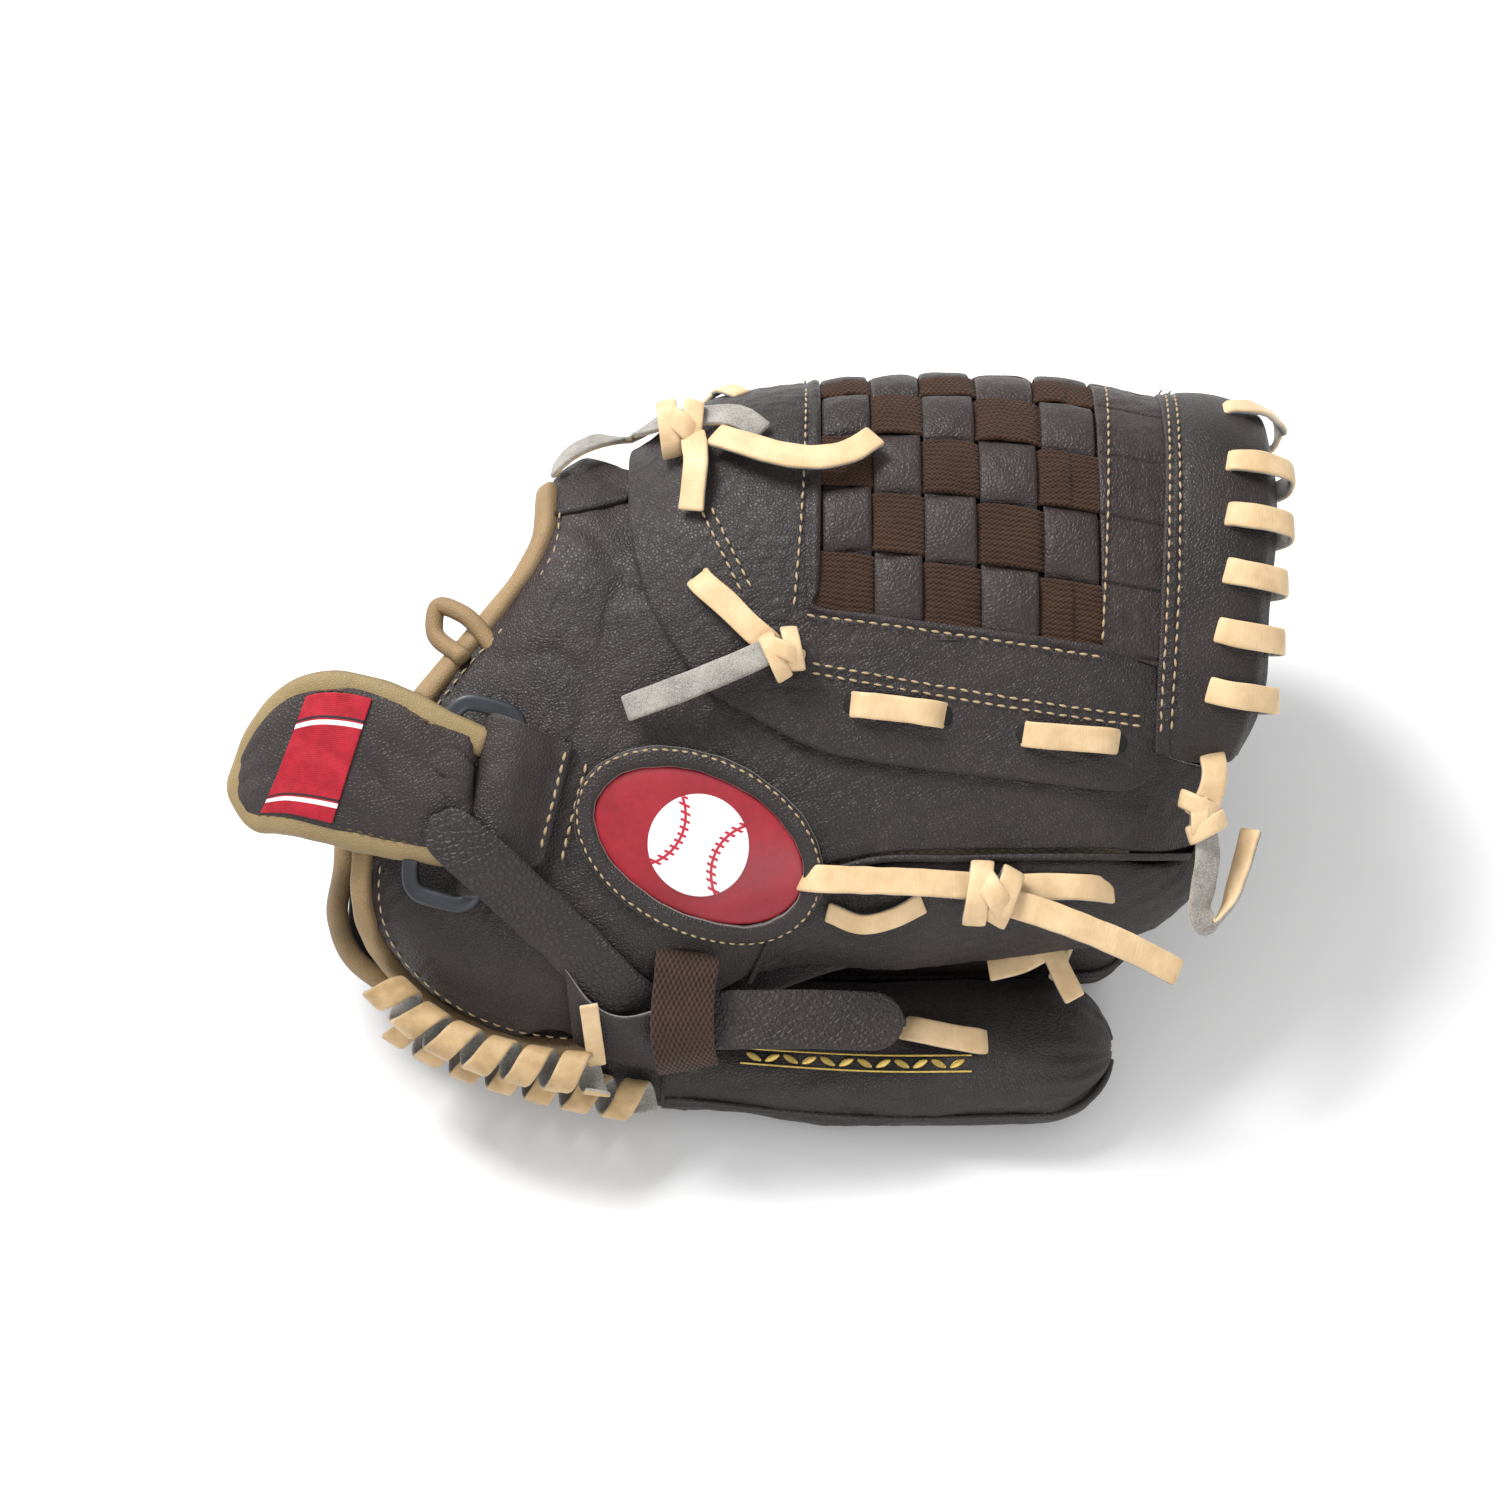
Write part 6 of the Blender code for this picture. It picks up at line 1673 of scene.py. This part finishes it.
    def bindings(self) -> list[Piece]:
        """Tan bindings on the far side of the open back and round the wrist."""
        f = self.finishes
        far = tube(mm((-128, 124.5, -59), (-100, 135, -77), (-78, 150, -87), (-56, 166, -95),
            (-34, 166, -106)), 0.0034, 90, 16)
        wrist = tube(mm((-109, 42, -28), (-124, 53, -30), (-130, 64, -42), (-130, 82, -63),
            (-130, 100, -68), (-129, 124, -60)), 0.0034, 100, 16)
        finger_hole = tube(mm((-79, 146, -10), (-90, 158, -12), (-97.5, 160, -16), (-98.5, 153, -15),
            (-90, 145, -8)), 0.0028, 60, 14)
        return [put("open_back_far_fold", far, f.binding, Body.FINGERS, ("open_back_binding_far",)),
                put("wrist_entry_fold", wrist, f.binding, Body.FINGERS, ("wrist_entry_binding",)),
                put("finger_hole_fold", finger_hole, f.binding, Body.THUMB)]

    def laces(self) -> list[Piece]:
        """The lace across the fingertips, the pinkie's lace and the ornament in foil."""
        f = self.finishes
        across = tube(mm((100, 120, -73.5), (101, 100, -62), (99, 80, -50), (96, 62, -35.5),
            (90, 48, -24.5)), 0.0021, 70, 14)
        fork = [strap(mm((70, 50, -19), (79, 52.5, -16), (86, 56, -15)), ((0.0, 0.3, 1.0),) * 2, 0.0068,
            0.0018, 20, 5.0, 0.03, 551), strap(mm((87.5, 59, -16), (90.5, 51, -13.5), (95, 42, -13.5)),
            ((0.2, 0.3, 1.0),) * 2, 0.0068, 0.0018, 20, 5.0, 0.03, 552)]
        tips = put("fingertip_lace", join([across, *fork]), f.lace, Body.FINGERS, ("finger_tip_lace",))
        short = [strap(mm((44, 32.5, -19.5), (47, 32.2, -16.2), (57, 30.2, -15.2), (67, 28.5, -16),
            (70, 27.9, -19.5)), ((0.0, 0.35, 1.0),) * 3, 0.0078, 0.0019, 34, 5.0, 0.03, 553)]
        pinkie = put("pinkie_lace_run", join(short), f.lace, Body.FINGERS, ("pinkie_lace",))
        return [tips, pinkie, self.ornament()]

    def surface(self, u: Array, turn: Array) -> tuple[Array, Array]:
        """Points and normals on the pinkie's stall at u and an angle round it."""
        table = np.array(self.pinkie, float)
        v, w, wide, thick, tilt = (smooth(table[:, (0, k)], u) for k in range(1, 6))
        tilt = np.radians(tilt)
        power = 2 / 2.5
        a = wide * np.sign(np.cos(turn)) * np.abs(np.cos(turn)) ** power
        b = thick * np.sign(np.sin(turn)) * np.abs(np.sin(turn)) ** power
        point = np.stack([u, v + a * np.cos(tilt) + b * np.sin(tilt), w - a * np.sin(tilt) + b * np.cos(tilt)], -1)
        return point, unit(point - np.stack([u, v, w], -1))

    def ornament(self) -> Piece:
        """A plain stamped row of foil leaves between two fine lines, on the pinkie's stall."""
        shapes = []
        for k in range(12):
            u = -0.004 + 0.0056 * k + np.array((0.0, 0.0042))
            points, ups = self.surface(u, np.radians((121.0, 115.0) if k % 2 else (115.0, 121.0)))
            path = by_length(points + ups * 0.0009, 10)
            half = 0.0011 * np.sin(np.linspace(0.25, math.pi - 0.25, 10)) ** 0.8
            shapes.append(sweep(path, np.broadcast_to(ups.mean(0), path.shape), half, 0.00016, 2.2, 10))
        for turn in (111.0, 125.0):
            u = np.linspace(-0.006, 0.064, 50)
            points, ups = self.surface(u, np.full(50, math.radians(turn)))
            shapes.append(sweep(points + ups * 0.0008, ups, 0.00035, 0.00014, 2.2, 8))
        return put("pinkie_foil_leaves", join(shapes), self.finishes.foil, Body.FINGERS)

    def build(self) -> list[Piece]:
        """Every piece of the finger half."""
        return [*self.stalls(), *self.hand(), *self.bindings(), *self.laces()]


# Seams between the halves -------------------------------------------------------------------

@dataclass
class HeelAndFlange:
    """Heel lacing on each half, and the index finger's flange with its lace."""
    finishes: Finishes

    def spiral(self, edge: Table, turns: float, radii: Pair, width: float, seed: int,
               lean: Pair = (0.0, 0.0)) -> Shape:
        """A flat lace wound round an edge: a helix whose face looks away from the edge."""
        count = int(turns * 26)
        line = by_length(edge, count)
        ahead = unit(np.gradient(line, axis=0))
        up = np.array((0.0, 0.35, 1.0))
        side = unit(np.cross(ahead, up))
        rise = np.cross(side, ahead)
        angle = math.tau * turns * np.linspace(0, 1, count)[:, None] + math.radians(lean[0])
        squeeze = np.sign(np.sin(angle)) * np.abs(np.sin(angle)) ** 0.75
        away = side * np.cos(angle) + rise * np.sin(angle)
        path = line + side * radii[0] * np.cos(angle) + rise * radii[1] * squeeze
        run = run_of(path)
        half = width / 2 * (1 + 0.06 * ripple(run, run * 0.4, seed, 0.012))
        return sweep(path, away, half, LACE_THICK / 2, 5.0, 14)

    def build(self) -> list[Piece]:
        """Heel laces, flange and flange lace."""
        f = self.finishes
        thumb = self.spiral(mm((-113, 45.5, -6), (-100, 34, -5), (-84, 26.2, -3), (-66, 21.5, -2),
            (-48, 19.5, -2)), 6.0, (0.0056, 0.004), 0.0078, 601)
        pinkie = self.spiral(mm((-109, 33, -21), (-92, 24, -20), (-70, 17, -17), (-52, 13, -15),
            (-34, 10, -16)), 6.8, (0.0056, 0.0042), 0.0076, 602)
        low = [(u, 0.0755) for u in (-0.03, 0.01, 0.05, 0.096, 0.142)]
        high = [(u, 0.106) for u in (-0.03, 0.01, 0.05, 0.096, 0.142)]
        flange = patch(low, high, -0.0004, (0.031, 0.172), (40, 150), 0.0024, lambda u, arc, s,
            t: 0.0007 * ripple(u, arc, 603, 0.03) + 0.0003 * np.sin(math.pi * t))
        spots = [(u, 0.079 if k % 2 else 0.0885) for k, u in enumerate(np.linspace(-0.02, 0.125, 15))]
        points, ups = arc_line(spots, 0.004, 220)
        zigzag = sweep(points, ups, 0.0028, 0.0009, 4.0, 14)
        # The heel lacing's darker lace finish is painted shade.
        return [put("thumb_heel_lacing", thumb, f.heel_lace, Body.THUMB, ("thumb_heel_lace",)),
            put("pinkie_heel_lacing", pinkie, f.heel_lace, Body.FINGERS, ("pinkie_heel_lace",)),
            put("index_flange_hide", flange, f.shell, Body.FINGERS, replaces=("index_web_flange",)),
            put("index_flange_lace", zigzag, f.lace, Body.FINGERS, ("index_web_lace",))]


# Stage --------------------------------------------------------------------------------------

@dataclass
class Stage:
    """A pale floor, soft lamps and the camera."""
    view_target: tuple[float, float, float] = (-0.0012, 0.115, 0.0)
    distance: float = 1.4
    frame_width: float = 0.4527
    sensor: float = 36.0

    def floor(self) -> None:
        """A wide pale floor under the glove."""
        g = Graph("pale_floor")
        drift = g.noise(3.0, 2.0)
        material = g.finish(g.blend(drift, (0.88, 0.88, 0.88), (0.9, 0.9, 0.9)), 0.9, specular_ior_level=0.1)
        mesh = bpy.data.meshes.new("floor")
        half = 6.0
        mesh.from_pydata([(-half, -half, 0), (half, -half, 0), (half, half, 0), (-half, half, 0)], [], [(0, 1, 2, 3)])
        mesh.materials.append(material)
        obj = bpy.data.objects.new("floor", mesh)
        bpy.context.scene.collection.objects.link(obj)

    def lamp(self, name: str, place: Sequence[float], power: float, size: float) -> None:
        """A square soft lamp that looks at the glove's middle."""
        data = bpy.data.lights.new(name, "AREA")
        data.energy, data.size = power, size
        obj = bpy.data.objects.new(name, data)
        obj.location = place
        obj.rotation_euler = (Vector((0.0, 0.0, 0.07)) - Vector(place)).to_track_quat("-Z", "Y").to_euler()
        bpy.context.scene.collection.objects.link(obj)

    def camera(self) -> None:
        """The camera looks square onto the thumb's face."""
        data = bpy.data.cameras.new("camera")
        data.sensor_width = self.sensor
        data.lens = self.sensor * self.distance / self.frame_width
        obj = bpy.data.objects.new("camera", data)
        target = world(np.array(self.view_target))
        obj.location = tuple(target + TURN @ np.array((0.0, 0.0, self.distance)))
        obj.rotation_euler = (LEAN, 0.0, 0.0)
        bpy.context.scene.collection.objects.link(obj)
        bpy.context.scene.camera = obj

    def build(self) -> None:
        """Floor, lamps, sky and camera."""
        self.floor()
        self.camera()
        self.lamp("key_lamp", (-0.8, 0.7, 1.6), 46.0, 0.8)
        self.lamp("front_lamp", (0.4, -1.6, 1.0), 10.0, 1.0)
        sky = bpy.data.worlds.new("studio_sky")
        sky.use_nodes = True
        sky.node_tree.nodes["Background"].inputs["Color"].default_value = (1.0, 1.0, 1.0, 1.0)
        sky.node_tree.nodes["Background"].inputs["Strength"].default_value = 0.72
        bpy.context.scene.world = sky
        bpy.context.scene.view_settings.view_transform = "Standard"


def main() -> None:
    """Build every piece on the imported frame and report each."""
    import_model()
    Stage().build()
    finishes = Finishes()
    count = 0
    for group in (ThumbShell(finishes), Web(finishes), Emblem(finishes), Laces(finishes), Wrist(finishes),
                  Fingers(finishes), HeelAndFlange(finishes)):
        pieces = group.build()
        count += len(pieces)
        LOG.info("%s: %d pieces", type(group).__name__, len(pieces))
    LOG.info("%d pieces in all", count)


if __name__ == "__main__":
    logging.basicConfig(level=logging.INFO, format="%(message)s")
    main()
